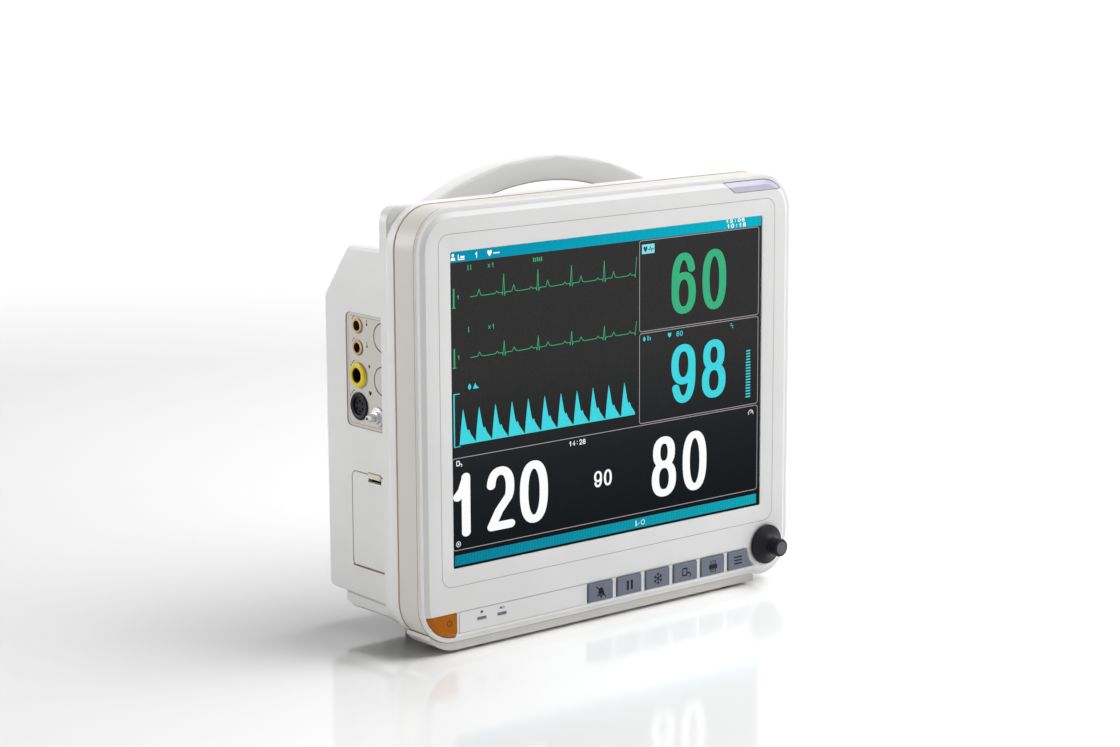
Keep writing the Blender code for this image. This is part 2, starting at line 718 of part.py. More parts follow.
def make_sockets():
    jack = [
        (3.1, 1.1),
        (4.2, 1.1),
        (4.6, 0.7),
        (4.6, GAP),
        (4.0, GAP),
        (4.0, -13.0),
        (3.1, -13.0),
    ]
    for i, place in enumerate(TEMPERATURE_JACKS):
        finish(socket(f"temperature_jack_{i + 1}", place, jack, 24), "brass")
    collar = [(4.6, 2.2), (6.4, 2.2), (7.3, 1.7), (7.7, 0.9), (7.7, GAP), (4.6, GAP)]
    finish(socket("pulse_socket_collar", PULSE_SOCKET, collar, 32), "yellow")
    core = [(3.8, 1.6), (4.3, 1.6), (4.3, -12.0), (3.8, -12.0)]
    finish(socket("pulse_socket_core", PULSE_SOCKET, core, 24), "charcoal")
    shell = [
        (5.6, 0.9),
        (6.6, 1.3),
        (7.8, 1.3),
        (8.4, 0.8),
        (8.4, GAP),
        (6.9, GAP),
        (6.9, -9.0),
        (5.6, -9.0),
    ]
    finish(socket("heart_socket_shell", HEART_SOCKET, shell, 32), "charcoal")
    insert = socket("heart_socket_insert", HEART_SOCKET, [(0, 0), (5.3, 0), (5.3, -9), (0, -9)], 24)
    for i in range(6):
        turn = math.radians(60 * i + 30)
        depth = HEART_SOCKET[0] + 3.2 * math.cos(turn)
        height = HEART_SOCKET[1] + 3.2 * math.sin(turn)
        hole = cylinder(f"contact_{i}", (-140, depth, height), 0.85, 6.0, (1, 0, 0), 8, True)
        cut(insert, hole)
    finish(insert, "charcoal")
    fitting = [
        (1.0, 8.6),
        (1.7, 8.6),
        (2.3, 7.2),
        (1.8, 7.0),
        (2.4, 5.2),
        (2.4, 3.4),
        (3.9, 3.2),
        (3.9, 1.6),
        (5.8, 1.4),
        (5.8, GAP),
        (3.0, GAP),
        (3.0, -7.0),
        (2.0, -7.0),
        (2.0, -13.0),
        (1.0, -13.0),
    ]
    finish(socket("cuff_hose_fitting", CUFF_FITTING, fitting, 24), "steel")
    plug = [(0, 0), (8.0, 0), (8.3, -GAP), (8.3, -2.3), (9.8, -2.3), (9.8, -3.2), (0, -3.2)]
    for name, place in zip(("blank_plug_upper", "blank_plug_lower"), BLANK_PLUGS):
        finish(socket(name, place, plug, 40), "panel_grey")


# ---------------------------------------------------------------- battery door
def make_battery_door():
    axis_x = -BOX_HALF + BEAD_RADIUS
    axis_z = DOOR_BASE + GAP + BEAD_RADIUS
    front, rear = DOOR_FRONT + 0.2, DOOR_REAR - 0.2
    outline = rounded(front, rear, axis_z - 0.9, DOOR_TOP - GAP, 3.7, 4)
    door = slab("battery_door", outline, -BOX_HALF, -BOX_HALF + DOOR_THICK, "side")
    cut(door, blocks("door_below", [(-145, -130, 30, 90, 30, axis_z)], helper=True))
    bead = cylinder("door_bead", (axis_x, front, axis_z), BEAD_RADIUS, rear - front, (0, 1, 0), 24, True)
    fuse(door, bead)
    cut(door, hinge_bore("door_bore", 1.0, 30.0, 90.0))
    notch = (-145, -130, LATCH_FRONT - GAP, LATCH_REAR + GAP, LATCH_BASE - 2.4, DOOR_TOP + 5)
    cut(door, blocks("door_notch", [notch], helper=True))
    set_origin(door, at(axis_x, (front + rear) / 2, axis_z))
    finish(smooth(door), "case_white")
    pin = cylinder("door_hinge_pin", (axis_x, 33.6, axis_z), 0.8, 49.6, (0, 1, 0), 16)
    finish(pin, "steel")
    latch = block(
        "door_latch", -BOX_HALF - 0.8, -BOX_HALF + 2.2, LATCH_FRONT, LATCH_REAR, LATCH_BASE, LATCH_TOP, 0.6
    )
    set_origin(latch, at(-BOX_HALF, (LATCH_FRONT + LATCH_REAR) / 2, (LATCH_BASE + LATCH_TOP) / 2))
    finish(latch, "cream")


# ---------------------------------------------------------------- back
def make_mains_inlet():
    back = BOX_BACK + GAP
    inlet = block("mains_inlet", 77.0, 115.0, back, back + 1.8, 43.5, 72.5, 0.6)
    fuse(inlet, block("inlet_body", 82.0, 110.0, 84.0, back + 0.7, 47.0, 69.0, helper=True))
    cavity = [(83.5, 52.0), (87.5, 48.5), (104.5, 48.5), (108.5, 52.0), (108.5, 67.5), (83.5, 67.5)]
    cut(inlet, slab("inlet_cavity", cavity, 88.0, 115.0, helper=True))
    pins = [(89.0, 55.0), (96.0, 60.0), (103.0, 55.0)]
    for i, (x, height) in enumerate(pins):
        blade = block(f"inlet_pin_{i}", x - 1.0, x + 1.0, 86.0, 99.5, height - 2.4, height + 2.4, helper=True)
        fuse(inlet, blade)
    return finish(inlet, "charcoal")


def make_earth_stud():
    profile = [
        (0, STUD_END - BOX_BACK),
        (2.2, STUD_END - BOX_BACK),
        (2.5, STUD_END - BOX_BACK - 0.6),
        (2.5, 3.3),
        (5.2, 3.3),
        (5.2, GAP),
        (2.9, GAP),
        (2.9, -6.0),
        (0, -6.0),
    ]
    stud = turned("earth_stud", (60, BOX_BACK, 58), (0, 1, 0), profile, 24)
    return finish(smooth(stud), "brass")


# ---------------------------------------------------------------- display and inner parts
def make_display():
    glass = block("display_glass", -126.5, 126.5, 0.5, 1.8, 47.5, 239.0)
    finish(glass, "screen")
    ring = [
        (rounded(-129.5, 129.5, 44.2, 242.3, 1.0, 2), 0.5),
        (rounded(-129.5, 129.5, 44.2, 242.3, 1.0, 2), 1.8),
        (rounded(-126.8, 126.8, 47.2, 239.3, 0.2, 2), 1.8),
        (rounded(-126.8, 126.8, 47.2, 239.3, 0.2, 2), 0.5),
    ]
    finish(loft("display_gasket", ring, closed=True), "rubber")
    module = block("display_module", -130, 130, 2.1, 9.6, 44, 242.5, 0.8)
    finish(module, "steel")
    ribbon = [(9.9, 130.0), (10.6, 130.0), (10.6, 97.3), (20.3, 88.3), (20.3, 70.0), (19.5, 70.0)]
    ribbon += [(19.5, 87.8), (9.9, 96.6)]
    finish(slab("display_cable", ribbon, 10.0, 34.0, "side"), "cream")


def make_chassis():
    channel = [(14.0, 14.0), (24.0, 14.0), (24.0, 15.4), (15.4, 15.4)]
    channel += [(15.4, 248.6), (24.0, 248.6), (24.0, 250.0), (14.0, 250.0)]
    plate = slab("main_chassis", channel, -136, 136, "side")
    windows = [(6.0, 38.0, 10, 20, 84.0, 102.0), (118.0, 140.0, 18.0, 30.0, 10.0, 20.0)]
    cut(plate, blocks("chassis_holes", windows + chassis_holes(), helper=True))
    return finish(plate, "steel")


def chassis_holes():
    """Lightening windows in a regular grid."""
    return [
        (x, x + 34, 10, 20, base, base + 26)
        for base in (36.0, 132.0, 190.0)
        for x in (-118.0, -68.0, 50.0, 84.5)
    ]


def make_boards():
    board = block("main_board", -70, 96, 21.0, 22.6, 60, 208)
    chips = [
        (-40, -12, 22.2, 25.0, 130, 158),
        (8, 36, 22.2, 24.4, 140, 168),
        (50, 84, 22.2, 31.0, 176, 188),
        (-60, -34, 22.2, 33.0, 70, 80),
        (40, 62, 22.2, 34.0, 76, 98),
    ]
    for i, chip in enumerate(chips):
        fuse(board, blocks(f"chip_{i}", [chip], helper=True))
    finish(board, "board")
    sockets = block("parameter_board", -119.0, -117.4, 44, 94, 166, 196)
    for i, chip in enumerate([(-118, -108, 50, 64, 172, 184), (-118, -112, 74, 88, 176, 192)]):
        fuse(sockets, blocks(f"isolator_{i}", [chip], helper=True))
    finish(sockets, "board")
    finish(block("keypad_board", -127, 117, 4.7, 6.3, 13.2, 31.0), "board")
    finish(block("alarm_board", 96, 134, 3.2, 4.8, 246.0, 256.4), "board")
    mat = block("keypad_mat", -26, 116, 3.4, 4.4, 11.4, 25.0)
    domes = [
        (KEY_FIRST + KEY_PITCH * i + 6, KEY_FIRST + KEY_PITCH * i + 13, 2.5, 3.6, 14.5, 20.5)
        for i in range(len(KEY_NAMES))
    ]
    for i, dome in enumerate(domes):
        fuse(mat, blocks(f"dome_{i}", [dome], helper=True))
    finish(mat, "rubber")


def make_power_and_pump():
    supply = block("power_supply", 28, 128, 52, 56, 100, 146)
    lumps = [
        (34, 62, 55, 84, 106, 134),
        (70, 84, 55, 90, 104, 142),
        (92, 120, 55, 76, 110, 138),
    ]
    for i, lump in enumerate(lumps):
        fuse(supply, blocks(f"supply_lump_{i}", [lump], helper=True))
    finish(supply, "board")
    sleeve = block("battery_bay", -132.6, -20, 39.6, 77.4, 41.6, 97.0)
    cut(sleeve, blocks("bay_hollow", [(-140, -21.6, 41.2, 75.8, 43.2, 95.4)], helper=True))
    finish(sleeve, "charcoal")
    finish(block("battery_pack", -131.5, -24, 42.0, 75.0, 44.0, 94.6, 2.0), "case_grey")
    pump = cylinder("cuff_pump", (-96, 70, 158), 13.5, 30, (1, 0, 0), 24)
    fuse(pump, cylinder("pump_motor", (-70, 70, 158), 11.0, 26, (1, 0, 0), 24, True))
    fuse(pump, cylinder("pump_nozzle", (-94, 70, 158), 2.0, 9.0, (-1, 0, 0), 16, True))
    finish(smooth(pump), "steel")
    speaker = turned(
        "speaker",
        (134.6, 70, 165),
        (1, 0, 0),
        [(0, -3.0), (14, 0), (19, 0), (19, -3), (10, -9), (10, -16), (0, -16)],
        32,
    )
    finish(smooth(speaker), "charcoal")


def make_cuff_tube():
    """Inner air tube from the fitting's tail to the pump, along a smooth curve."""
    start = at(PANEL_OUT + 13.0 + 2 * GAP, *CUFF_FITTING)
    end = at(-103.0 - 2 * GAP, 70, 158)
    pull = Vector((0.016, 0, 0))
    path = [bezier(start, start + pull, end - pull, end, i / 14) for i in range(15)]
    curve = bpy.data.curves.new("cuff_tube", "CURVE")
    curve.dimensions = "3D"
    curve.bevel_depth = 2.4 * MM
    curve.bevel_resolution = 2
    curve.use_fill_caps = True
    spline = curve.splines.new("POLY")
    spline.points.add(len(path) - 1)
    for point, place in zip(spline.points, path):
        point.co = (*place, 1.0)
    tube = bpy.data.objects.new("cuff_tube", curve)
    parts.objects.link(tube)
    return finish(tube, "lens")


def bezier(a, b, c, d, t):
    s = 1 - t
    return s**3 * a + 3 * s**2 * t * b + 3 * s * t**2 * c + t**3 * d


make_front_bezel()
make_button_strip()
make_keys()
make_power_button()
make_alarm_light()
make_indicator_windows()
make_knob()
make_middle_frame()
make_rear_shell()
make_base_skirt()
make_bottom_tray()
make_handle()
make_feet()
make_case_screws()
make_connector_panel()
make_sockets()
make_battery_door()
make_mains_inlet()
make_earth_stud()
make_display()
make_chassis()
make_boards()
make_power_and_pump()
make_cuff_tube()
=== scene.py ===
"""Looks of the bedside patient monitor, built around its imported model.

Places are in millimetres in the monitor's own layout: x to the right seen from the front, depth from the
display plane towards the back, height above a level just over the table. at() turns them into metres in the
shared frame, which has +Y to the back and +Z up.
"""

import math

import bmesh
import bpy
from mathutils import Matrix, Vector


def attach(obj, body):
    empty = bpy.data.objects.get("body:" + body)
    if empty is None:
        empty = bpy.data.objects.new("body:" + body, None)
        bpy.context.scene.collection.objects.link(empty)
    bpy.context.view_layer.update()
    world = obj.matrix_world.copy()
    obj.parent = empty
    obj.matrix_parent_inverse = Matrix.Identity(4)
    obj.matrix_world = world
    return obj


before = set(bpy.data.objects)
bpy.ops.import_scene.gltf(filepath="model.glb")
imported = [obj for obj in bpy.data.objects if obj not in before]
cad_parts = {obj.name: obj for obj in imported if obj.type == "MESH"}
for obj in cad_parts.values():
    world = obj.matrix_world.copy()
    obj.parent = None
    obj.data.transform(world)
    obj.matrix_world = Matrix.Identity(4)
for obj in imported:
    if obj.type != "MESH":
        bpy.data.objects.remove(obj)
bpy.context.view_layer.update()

MM = 0.001
MID_DEPTH = 48.05
TABLE = -1.4

# Places taken over from the design
SCREEN_HALF = 124.0
SCREEN_BASE = 50.0
SCREEN_HEIGHT = 186.5
CASE_HALF = 148.8
CASE_BASE = 5.8
CASE_TOP = 262.5
CASE_RADIUS = 25.0
PLATE_FRONT = -2.0
POWER_FRONT = -2.1
POWER_SIGN = (-128.5, 18.6)
KEY_FRONT = -3.3
KEY_FIRST = -22.8
KEY_PITCH = 23.4
KEY_SLOT = 20.2
KEY_LEVEL = 17.6
LED_CENTRES = (-104.5, -89.2)
KNOB_X = 127.2
KNOB_Z = 24.2
KNOB_TIP = -17.8
KNOB_FACE = 4.2
BOX_HALF = 138.5
PANEL_OUT = -137.9
TEMPERATURE_JACKS = ((71.0, 186.6), (71.0, 173.5))
PULSE_SIGN = (60.2, 163.6)
HEART_SIGN = (59.6, 147.4)
SOCKET_RIMS = (
    (TEMPERATURE_JACKS[0], 6.2),
    (TEMPERATURE_JACKS[1], 6.2),
    ((70.4, 157.0), 9.2),
    ((70.3, 138.3), 10.2),
)
HANDLE_CENTRE = 95.0
HANDLE_INNER = 167.2
HANDLE_FRONT = 63.5

# The display's opening, the side panel and the battery door, as (low, high, low, high) and a corner radius
PLATE_BEVEL = (-133.55, 133.55, 39.7, 247.3), 7.3
PANEL = (38.3, 82.6, 125.4, 194.2), 4.0
DOOR = (38.2, 78.7, 40.0, 98.3), 3.8

SIGN_SCALE = 1.3
PRINT_THICK = 0.03  # ink and display layers
PRINT_ROOT = 0.01  # how far ink reaches into what it is printed on
SCREEN_BACK_LAYER = 0.40  # depth of the picture's dark ground
SCREEN_LAYER = 0.34  # depth of what is drawn on it
SCREEN_TOP_LAYER = SCREEN_LAYER - 2 * PRINT_THICK  # depth of what is drawn on a bar or a tag
FINE_PEN = (0.22, 0.22)

# The photo's camera, found from the monitor's corners: metres, degrees and millimetres
CAMERA_PLACE = (-1.0664, -1.26795, 0.4562)
CAMERA_TURN = -40.0237  # about the upright
CAMERA_DROP = 10.6245  # below level
CAMERA_ROLL = -0.2442
CAMERA_LENS = 87.62
CAMERA_SENSOR = 36.0

WORLD_LIGHT = 0.08
WORLD_WHITE = 1.2
FLOOR_RADIUS = 8.0  # metres
FLOOR_COLOUR = (0.88, 0.88, 0.88)
FLOOR_ROUGHNESS = 0.1


def at(x, depth, height):
    """A point of the monitor's layout, in metres."""
    return Vector((x * MM, (depth - MID_DEPTH) * MM, (height - TABLE) * MM))


# ---------------------------------------------------------------- camera, light and floor
def make_camera():
    data = bpy.data.cameras.new("camera")
    data.lens = CAMERA_LENS
    data.sensor_width = CAMERA_SENSOR
    data.clip_start = 0.05  # metres
    data.clip_end = 60.0
    camera = bpy.data.objects.new("camera", data)
    turn = Matrix.Rotation(math.radians(CAMERA_TURN), 4, "Z")
    tilt = Matrix.Rotation(math.radians(90.0 - CAMERA_DROP), 4, "X")
    roll = Matrix.Rotation(math.radians(CAMERA_ROLL), 4, "Z")
    camera.matrix_world = Matrix.Translation(CAMERA_PLACE) @ turn @ tilt @ roll
    bpy.context.scene.collection.objects.link(camera)
    bpy.context.scene.camera = camera


def softbox(name, place, target, width, height, watts):
    """A large soft light that faces target. Its place and its sides are in metres."""
    data = bpy.data.lights.new(name, "AREA")
    data.shape = "RECTANGLE"
    data.size = width
    data.size_y = height
    data.energy = watts
    light = bpy.data.objects.new(name, data)
    light.location = place
    light.rotation_euler = (Vector(target) - Vector(place)).to_track_quat("-Z", "Y").to_euler()
    light.visible_camera = False
    bpy.context.scene.collection.objects.link(light)
    return light


def make_world():
    """White to look at and in reflections, but a weak light, so that the soft boxes model the form."""
    world = bpy.data.worlds.new("studio")
    world.use_nodes = True
    bpy.context.scene.world = world
    tree = world.node_tree
    tree.nodes.clear()
    path = tree.nodes.new("ShaderNodeLightPath")
    seen = tree.nodes.new("ShaderNodeMath")
    seen.operation = "MAXIMUM"
    tree.links.new(path.outputs["Is Camera Ray"], seen.inputs[0])
    tree.links.new(path.outputs["Is Glossy Ray"], seen.inputs[1])
    dim = tree.nodes.new("ShaderNodeBackground")
    dim.inputs["Color"].default_value = (1.0, 1.0, 1.0, 1.0)
    dim.inputs["Strength"].default_value = WORLD_LIGHT
    bright = tree.nodes.new("ShaderNodeBackground")
    bright.inputs["Color"].default_value = (1.0, 1.0, 1.0, 1.0)
    bright.inputs["Strength"].default_value = WORLD_WHITE
    mix = tree.nodes.new("ShaderNodeMixShader")
    out = tree.nodes.new("ShaderNodeOutputWorld")
    tree.links.new(seen.outputs[0], mix.inputs[0])
    tree.links.new(dim.outputs[0], mix.inputs[1])
    tree.links.new(bright.outputs[0], mix.inputs[2])
    tree.links.new(mix.outputs[0], out.inputs["Surface"])


def make_floor():
    bm = bmesh.new()
    bmesh.ops.create_circle(bm, cap_ends=True, segments=96, radius=FLOOR_RADIUS)
    mesh = bpy.data.meshes.new("floor")
    bm.to_mesh(mesh)
    bm.free()
    floor = bpy.data.objects.new("floor", mesh)
    bpy.context.scene.collection.objects.link(floor)
    paint = Paint("studio_floor", FLOOR_ROUGHNESS)
    paint.vary(FLOOR_COLOUR, 0.01, size=400.0)
    paint.rough_patches(FLOOR_ROUGHNESS, 0.02, size=200.0)
    paint.fade_to_white(near=0.9, far=1.8, most=0.4)
    mesh.materials.append(paint.material)
    return floor


def aim_light(light, floor, state):
    """Has a light fall on the floor alone (INCLUDE) or on everything but the floor (EXCLUDE)."""
    chosen = bpy.data.collections.new(light.name + "_receivers")
    chosen.objects.link(floor)
    chosen.collection_objects[0].light_linking.link_state = state
    light.light_linking.receiver_collection = chosen


def make_stage():
    bpy.context.scene.view_settings.view_transform = "Standard"
    make_world()
    floor = make_floor()
    softbox("light_top", (0.7, -0.3, 1.5), (0.1, 0.0, 0.0), 1.6, 1.6, 31.0)
    softbox("light_right", (1.1, -1.6, 0.7), (0, -0.05, 0.13), 0.9, 1.1, 4.5)
    left = softbox("light_left", (-1.3, 1.05, 0.7), (-0.1, 0, 0.13), 0.9, 0.9, 16.0)
    wash = softbox("light_floor", (0.75, -0.9, 1.3), (0, -0.1, 0.0), 1.2, 1.2, 15.0)
    aim_light(left, floor, "EXCLUDE")
    aim_light(wash, floor, "INCLUDE")


# ---------------------------------------------------------------- materials
MIX_A, MIX_B, MIX_RESULT = 6, 7, 2  # a Mix node's colour sockets
WEAR_FROM, WEAR_FULL = 0.96, 0.84  # how far an edge's normal turns, as a cosine
GRIME_SHADE_FROM, GRIME_SHADE_FULL = 0.62, 0.25  # how much of the sky a hollow sees, for the grime and painted shade in hollows
GRIME_SHADE_SHARE = (0.42, 0.32, 0.22)  # the share of each channel that is left under grime and painted shade
WELD = 0.00001  # metres
SHARP_ANGLE = 27  # degrees between faces, from which an edge stays sharp
FACE_WEIGHT = 60  # how strongly large faces pull the normals


class Paint:
    """A material whose colour, roughness and relief come from patterns in the piece's own space."""

    def __init__(self, name, roughness=0.4, metallic=0.0, specular=0.5, coat=0.0):
        self.material = bpy.data.materials.new(name)
        self.material.use_nodes = True
        self.tree = self.material.node_tree
        self.shader = self.tree.nodes["Principled BSDF"]
        self.shader.inputs["Roughness"].default_value = roughness
        self.shader.inputs["Metallic"].default_value = metallic
        self.shader.inputs["Specular IOR Level"].default_value = specular
        self.shader.inputs["Coat Weight"].default_value = coat
        self.coords = self.tree.nodes.new("ShaderNodeTexCoord").outputs["Object"]
        self.colour = None

    def node(self, kind, **settings):
        made = self.tree.nodes.new(kind)
        for key, value in settings.items():
            setattr(made, key, value)
        return made

    def link(self, output, socket):
        self.tree.links.new(output, socket)

    def noise(self, size, detail=3.0):
        """Noise with features of about size millimetres."""
        made = self.node("ShaderNodeTexNoise")
        made.inputs["Scale"].default_value = 1.0 / (size * MM)
        made.inputs["Detail"].default_value = detail
        self.link(self.coords, made.inputs["Vector"])
        return made.outputs["Fac"]

    def spread(self, value, low, high, to_low=0.0, to_high=1.0):
        """Maps a value from low..high to to_low..to_high."""
        made = self.node("ShaderNodeMapRange")
        self.link(value, made.inputs["Value"])
        made.inputs["From Min"].default_value = low
        made.inputs["From Max"].default_value = high
        made.inputs["To Min"].default_value = to_low
        made.inputs["To Max"].default_value = to_high
        return made.outputs["Result"]

    def mix(self, share, first, second):
        """Mixes two colours, each a tuple or a socket."""
        made = self.node("ShaderNodeMix", data_type="RGBA")
        self.link(share, made.inputs["Factor"])
        for socket, colour in ((made.inputs[MIX_A], first), (made.inputs[MIX_B], second)):
            if isinstance(colour, tuple):
                socket.default_value = (*colour, 1.0)
            else:
                self.link(colour, socket)
        return made.outputs[MIX_RESULT]

    def set_colour(self, colour):
        self.colour = colour
        self.link(colour, self.shader.inputs["Base Color"])

    def vary(self, colour, amount, size=60.0):
        """Soft cloudy variation of the base colour."""
        low = tuple(c * (1 - amount) for c in colour)
        high = tuple(min(1.0, c * (1 + amount)) for c in colour)
        self.set_colour(self.mix(self.spread(self.noise(size), 0.35, 0.65), low, high))

    def rough_patches(self, roughness, amount, size=22.0):
        """Handled and cleaned patches that are a little glossier or duller."""
        patches = self.noise(size, 2.0)
        value = self.spread(patches, 0.2, 0.8, roughness - amount, roughness + amount)
        self.link(value, self.shader.inputs["Roughness"])

    def fade_to_white(self, near, far, most):
        """Brightens the floor to plain white from near to far metres off, like a lit sweep."""
        length = self.node("ShaderNodeVectorMath", operation="LENGTH")
        self.link(self.coords, length.inputs[0])
        self.shader.inputs["Emission Color"].default_value = (1.0, 1.0, 1.0, 1.0)
        glow_level = self.spread(length.outputs["Value"], near, far, 0.0, most)
        self.link(glow_level, self.shader.inputs["Emission Strength"])

    def relief(self, size, height, edge=0.4):
        """Fine moulded texture of that size and height, over edges rounded by edge, all in millimetres."""
        bump = self.node("ShaderNodeBump")
        bump.inputs["Strength"].default_value = 1.0
        bump.inputs["Distance"].default_value = height * MM
        self.link(self.noise(size, 2.0), bump.inputs["Height"])
        if edge:
            bevel = self.node("ShaderNodeBevel", samples=4)
            bevel.inputs["Radius"].default_value = edge * MM
            self.link(bevel.outputs["Normal"], bump.inputs["Normal"])
        self.link(bump.outputs["Normal"], self.shader.inputs["Normal"])

    def edge_wear(self, tint, amount, width=0.5):
        """Edges polished towards tint, in broken stretches."""
        bevel = self.node("ShaderNodeBevel", samples=4)
        bevel.inputs["Radius"].default_value = width * MM
        geometry = self.node("ShaderNodeNewGeometry")
        turned = self.node("ShaderNodeVectorMath", operation="DOT_PRODUCT")
        self.link(bevel.outputs["Normal"], turned.inputs[0])
        self.link(geometry.outputs["Normal"], turned.inputs[1])
        edge = self.spread(turned.outputs["Value"], WEAR_FROM, WEAR_FULL)
        broken = self.spread(self.noise(9.0, 4.0), 0.42, 0.62, 0.15 * amount, amount)
        both = self.node("ShaderNodeMath", operation="MULTIPLY")
        self.link(edge, both.inputs[0])
        self.link(broken, both.inputs[1])
        self.set_colour(self.mix(both.outputs[0], self.colour, tint))

    def crevice_grime_and_shade(self, tint, amount, reach=3.0):
        """Grime and painted shade in seams and inner corners within reach millimetres."""
        hollow = self.node("ShaderNodeAmbientOcclusion", samples=4)
        hollow.inputs["Distance"].default_value = reach * MM
        grime_and_shade = self.spread(hollow.outputs["AO"], GRIME_SHADE_FROM, GRIME_SHADE_FULL, 0.0, amount)
        self.set_colour(self.mix(grime_and_shade, self.colour, tint))


def moulded(
    name, colour, roughness, grain=0.012, variation=0.02, grime_and_shade=0.45, wear=0.25, specular=0.4, patches=0.04
):
    """Injection-moulded plastic."""
    paint = Paint(name, roughness, specular=specular)
    paint.vary(colour, variation)
    paint.edge_wear(tuple(min(1.0, c * 1.12 + 0.02) for c in colour), wear)
    # Grime and painted shade: seams and hollows are darkened and tinted towards grime
    paint.crevice_grime_and_shade(tuple(c * share for c, share in zip(colour, GRIME_SHADE_SHARE)), grime_and_shade)
    paint.rough_patches(roughness, patches)
    paint.relief(0.9, grain)
    return paint.material


def metal(name, colour, roughness):
    paint = Paint(name, roughness, metallic=1.0)
    paint.vary(colour, 0.06, size=6.0)
    paint.edge_wear(tuple(min(1.0, c * 1.2) for c in colour), 0.6, 0.2)
    # Grime and painted shade: seams and hollows are darkened and tinted brown
    paint.crevice_grime_and_shade((0.10, 0.07, 0.04), 0.6, 1.5)
    paint.rough_patches(roughness, 0.08, size=3.0)
    paint.relief(0.25, 0.004, 0.15)
    return paint.material


X_AXIS, Z_AXIS = 0, 2
DISPLAY_LOW, DISPLAY_HIGH = 0.05, 0.24  # metres, close to the display's lower and upper edges


def glow(name, stops, axis, low, high, ripple=0.06, stripe=None):
    """A lit display colour that runs through stops along one axis, with the panel's fine unevenness.

    stripe gives upright stripes of that (pitch, depth).
    """
    paint = Paint(name, 0.45, specular=0.0)
    paint.shader.inputs["IOR"].default_value = 1.05
    paint.shader.inputs["Base Color"].default_value = (0.004, 0.004, 0.004, 1.0)
    split = paint.node("ShaderNodeSeparateXYZ")
    paint.link(paint.coords, split.inputs[0])
    share = paint.spread(split.outputs[axis], low, high)
    ramp = paint.node("ShaderNodeValToRGB")
    elements = ramp.color_ramp.elements
    while len(elements) < len(stops):
        elements.new(0.5)
    for element, (place, colour) in zip(elements, stops):
        element.position = place
        element.color = (*colour, 1.0)
    paint.link(share, ramp.inputs["Fac"])
    dark = paint.node("ShaderNodeMix", data_type="RGBA", blend_type="MULTIPLY")
    dark.inputs["Factor"].default_value = 1.0
    paint.link(ramp.outputs["Color"], dark.inputs[MIX_A])
    level = paint.spread(paint.noise(1.2, 2.0), 0.3, 0.7, 1.0 - ripple, 1.0 + ripple)
    if stripe:
        pitch, depth = stripe
        wave = paint.node("ShaderNodeTexWave", wave_type="BANDS", bands_direction="X")
        wave.inputs["Scale"].default_value = math.tau / (20.0 * pitch * MM)
        paint.link(paint.coords, wave.inputs["Vector"])
        shade = paint.spread(wave.outputs["Fac"], 0.0, 1.0, 1.0 - depth, 1.0)
        both = paint.node("ShaderNodeMath", operation="MULTIPLY")
        paint.link(level, both.inputs[0])
        paint.link(shade, both.inputs[1])
        level = both.outputs[0]
    grey = paint.node("ShaderNodeCombineColor")
    for channel in range(3):
        paint.link(level, grey.inputs[channel])
    paint.link(grey.outputs[0], dark.inputs[MIX_B])
    paint.link(dark.outputs[MIX_RESULT], paint.shader.inputs["Emission Color"])
    paint.shader.inputs["Emission Strength"].default_value = 1.0
    return paint.material


def plain_glow(name, colour):
    """One display colour, a little dimmer towards the display's lower edge."""
    dim = tuple(c * 0.92 for c in colour)
    return glow(name, [(0.0, dim), (1.0, colour)], Z_AXIS, DISPLAY_LOW, DISPLAY_HIGH)


def ink(name, colour):
    """Printed marks, slightly worn."""
    paint = Paint(name, 0.55, specular=0.15)
    paint.vary(colour, 0.12, size=2.0)
    paint.rough_patches(0.55, 0.1, size=4.0)
    paint.relief(0.3, 0.003, 0.0)
    return paint.material


def circuit_board(name):
    paint = Paint(name, 0.45)
    paint.vary((0.02, 0.14, 0.06), 0.25, size=8.0)
    # Grime and painted shade: seams and hollows are darkened
    paint.crevice_grime_and_shade((0.01, 0.03, 0.02), 0.5)
    paint.rough_patches(0.45, 0.1, size=5.0)
    paint.relief(1.4, 0.05, 0.1)
    return paint.material


def alarm_lens(name):
    paint = Paint(name, 0.22, coat=0.4)
    paint.vary((0.52, 0.50, 0.64), 0.03, size=12.0)
    paint.edge_wear((0.80, 0.80, 0.88), 0.4)
    # Grime and painted shade: seams and hollows are darkened
    paint.crevice_grime_and_shade((0.35, 0.33, 0.42), 0.4)
    paint.rough_patches(0.22, 0.05)
    paint.relief(0.6, 0.006)
    return paint.material


def make_finishes():
    """One material for each of the record's finishes."""
    return {
        "case_white": moulded("case_white", (0.79, 0.79, 0.785), 0.33),
        "case_grey": moulded(
            "case_grey", (0.66, 0.65, 0.61), 0.34, grain=0.006, variation=0.008, wear=0.0, patches=0.02
        ),
        "panel_grey": moulded("panel_grey", (0.60, 0.59, 0.55), 0.45),
        "key_blue_grey": moulded("key_blue_grey", (0.145, 0.162, 0.215), 0.5, grain=0.02, variation=0.05),
        "orange": moulded("orange", (0.46, 0.125, 0.001), 0.34, grain=0.006, grime_and_shade=0.5, specular=0.1),
        "charcoal": moulded(
            "charcoal", (0.012, 0.012, 0.015), 0.36, variation=0.12, grime_and_shade=0.3, wear=0.1, specular=0.12
        ),
        "lens": alarm_lens("lens"),
        "screen": moulded("screen", (0.006, 0.006, 0.007), 0.25, grain=0.002, grime_and_shade=0.1, wear=0.0),
        "module": metal("module", (0.50, 0.51, 0.52), 0.4),
        "yellow": moulded("yellow", (0.78, 0.60, 0.012), 0.34, grain=0.006, variation=0.04),
        "cream": moulded("cream", (0.78, 0.69, 0.54), 0.4),
        "rubber": moulded("rubber", (0.025, 0.025, 0.027), 0.75, grain=0.04, variation=0.15, wear=0.1),
        "steel": metal("steel", (0.60, 0.60, 0.62), 0.3),
        "brass": metal("brass", (0.46, 0.31, 0.15), 0.3),
        "board": circuit_board("board"),
    }


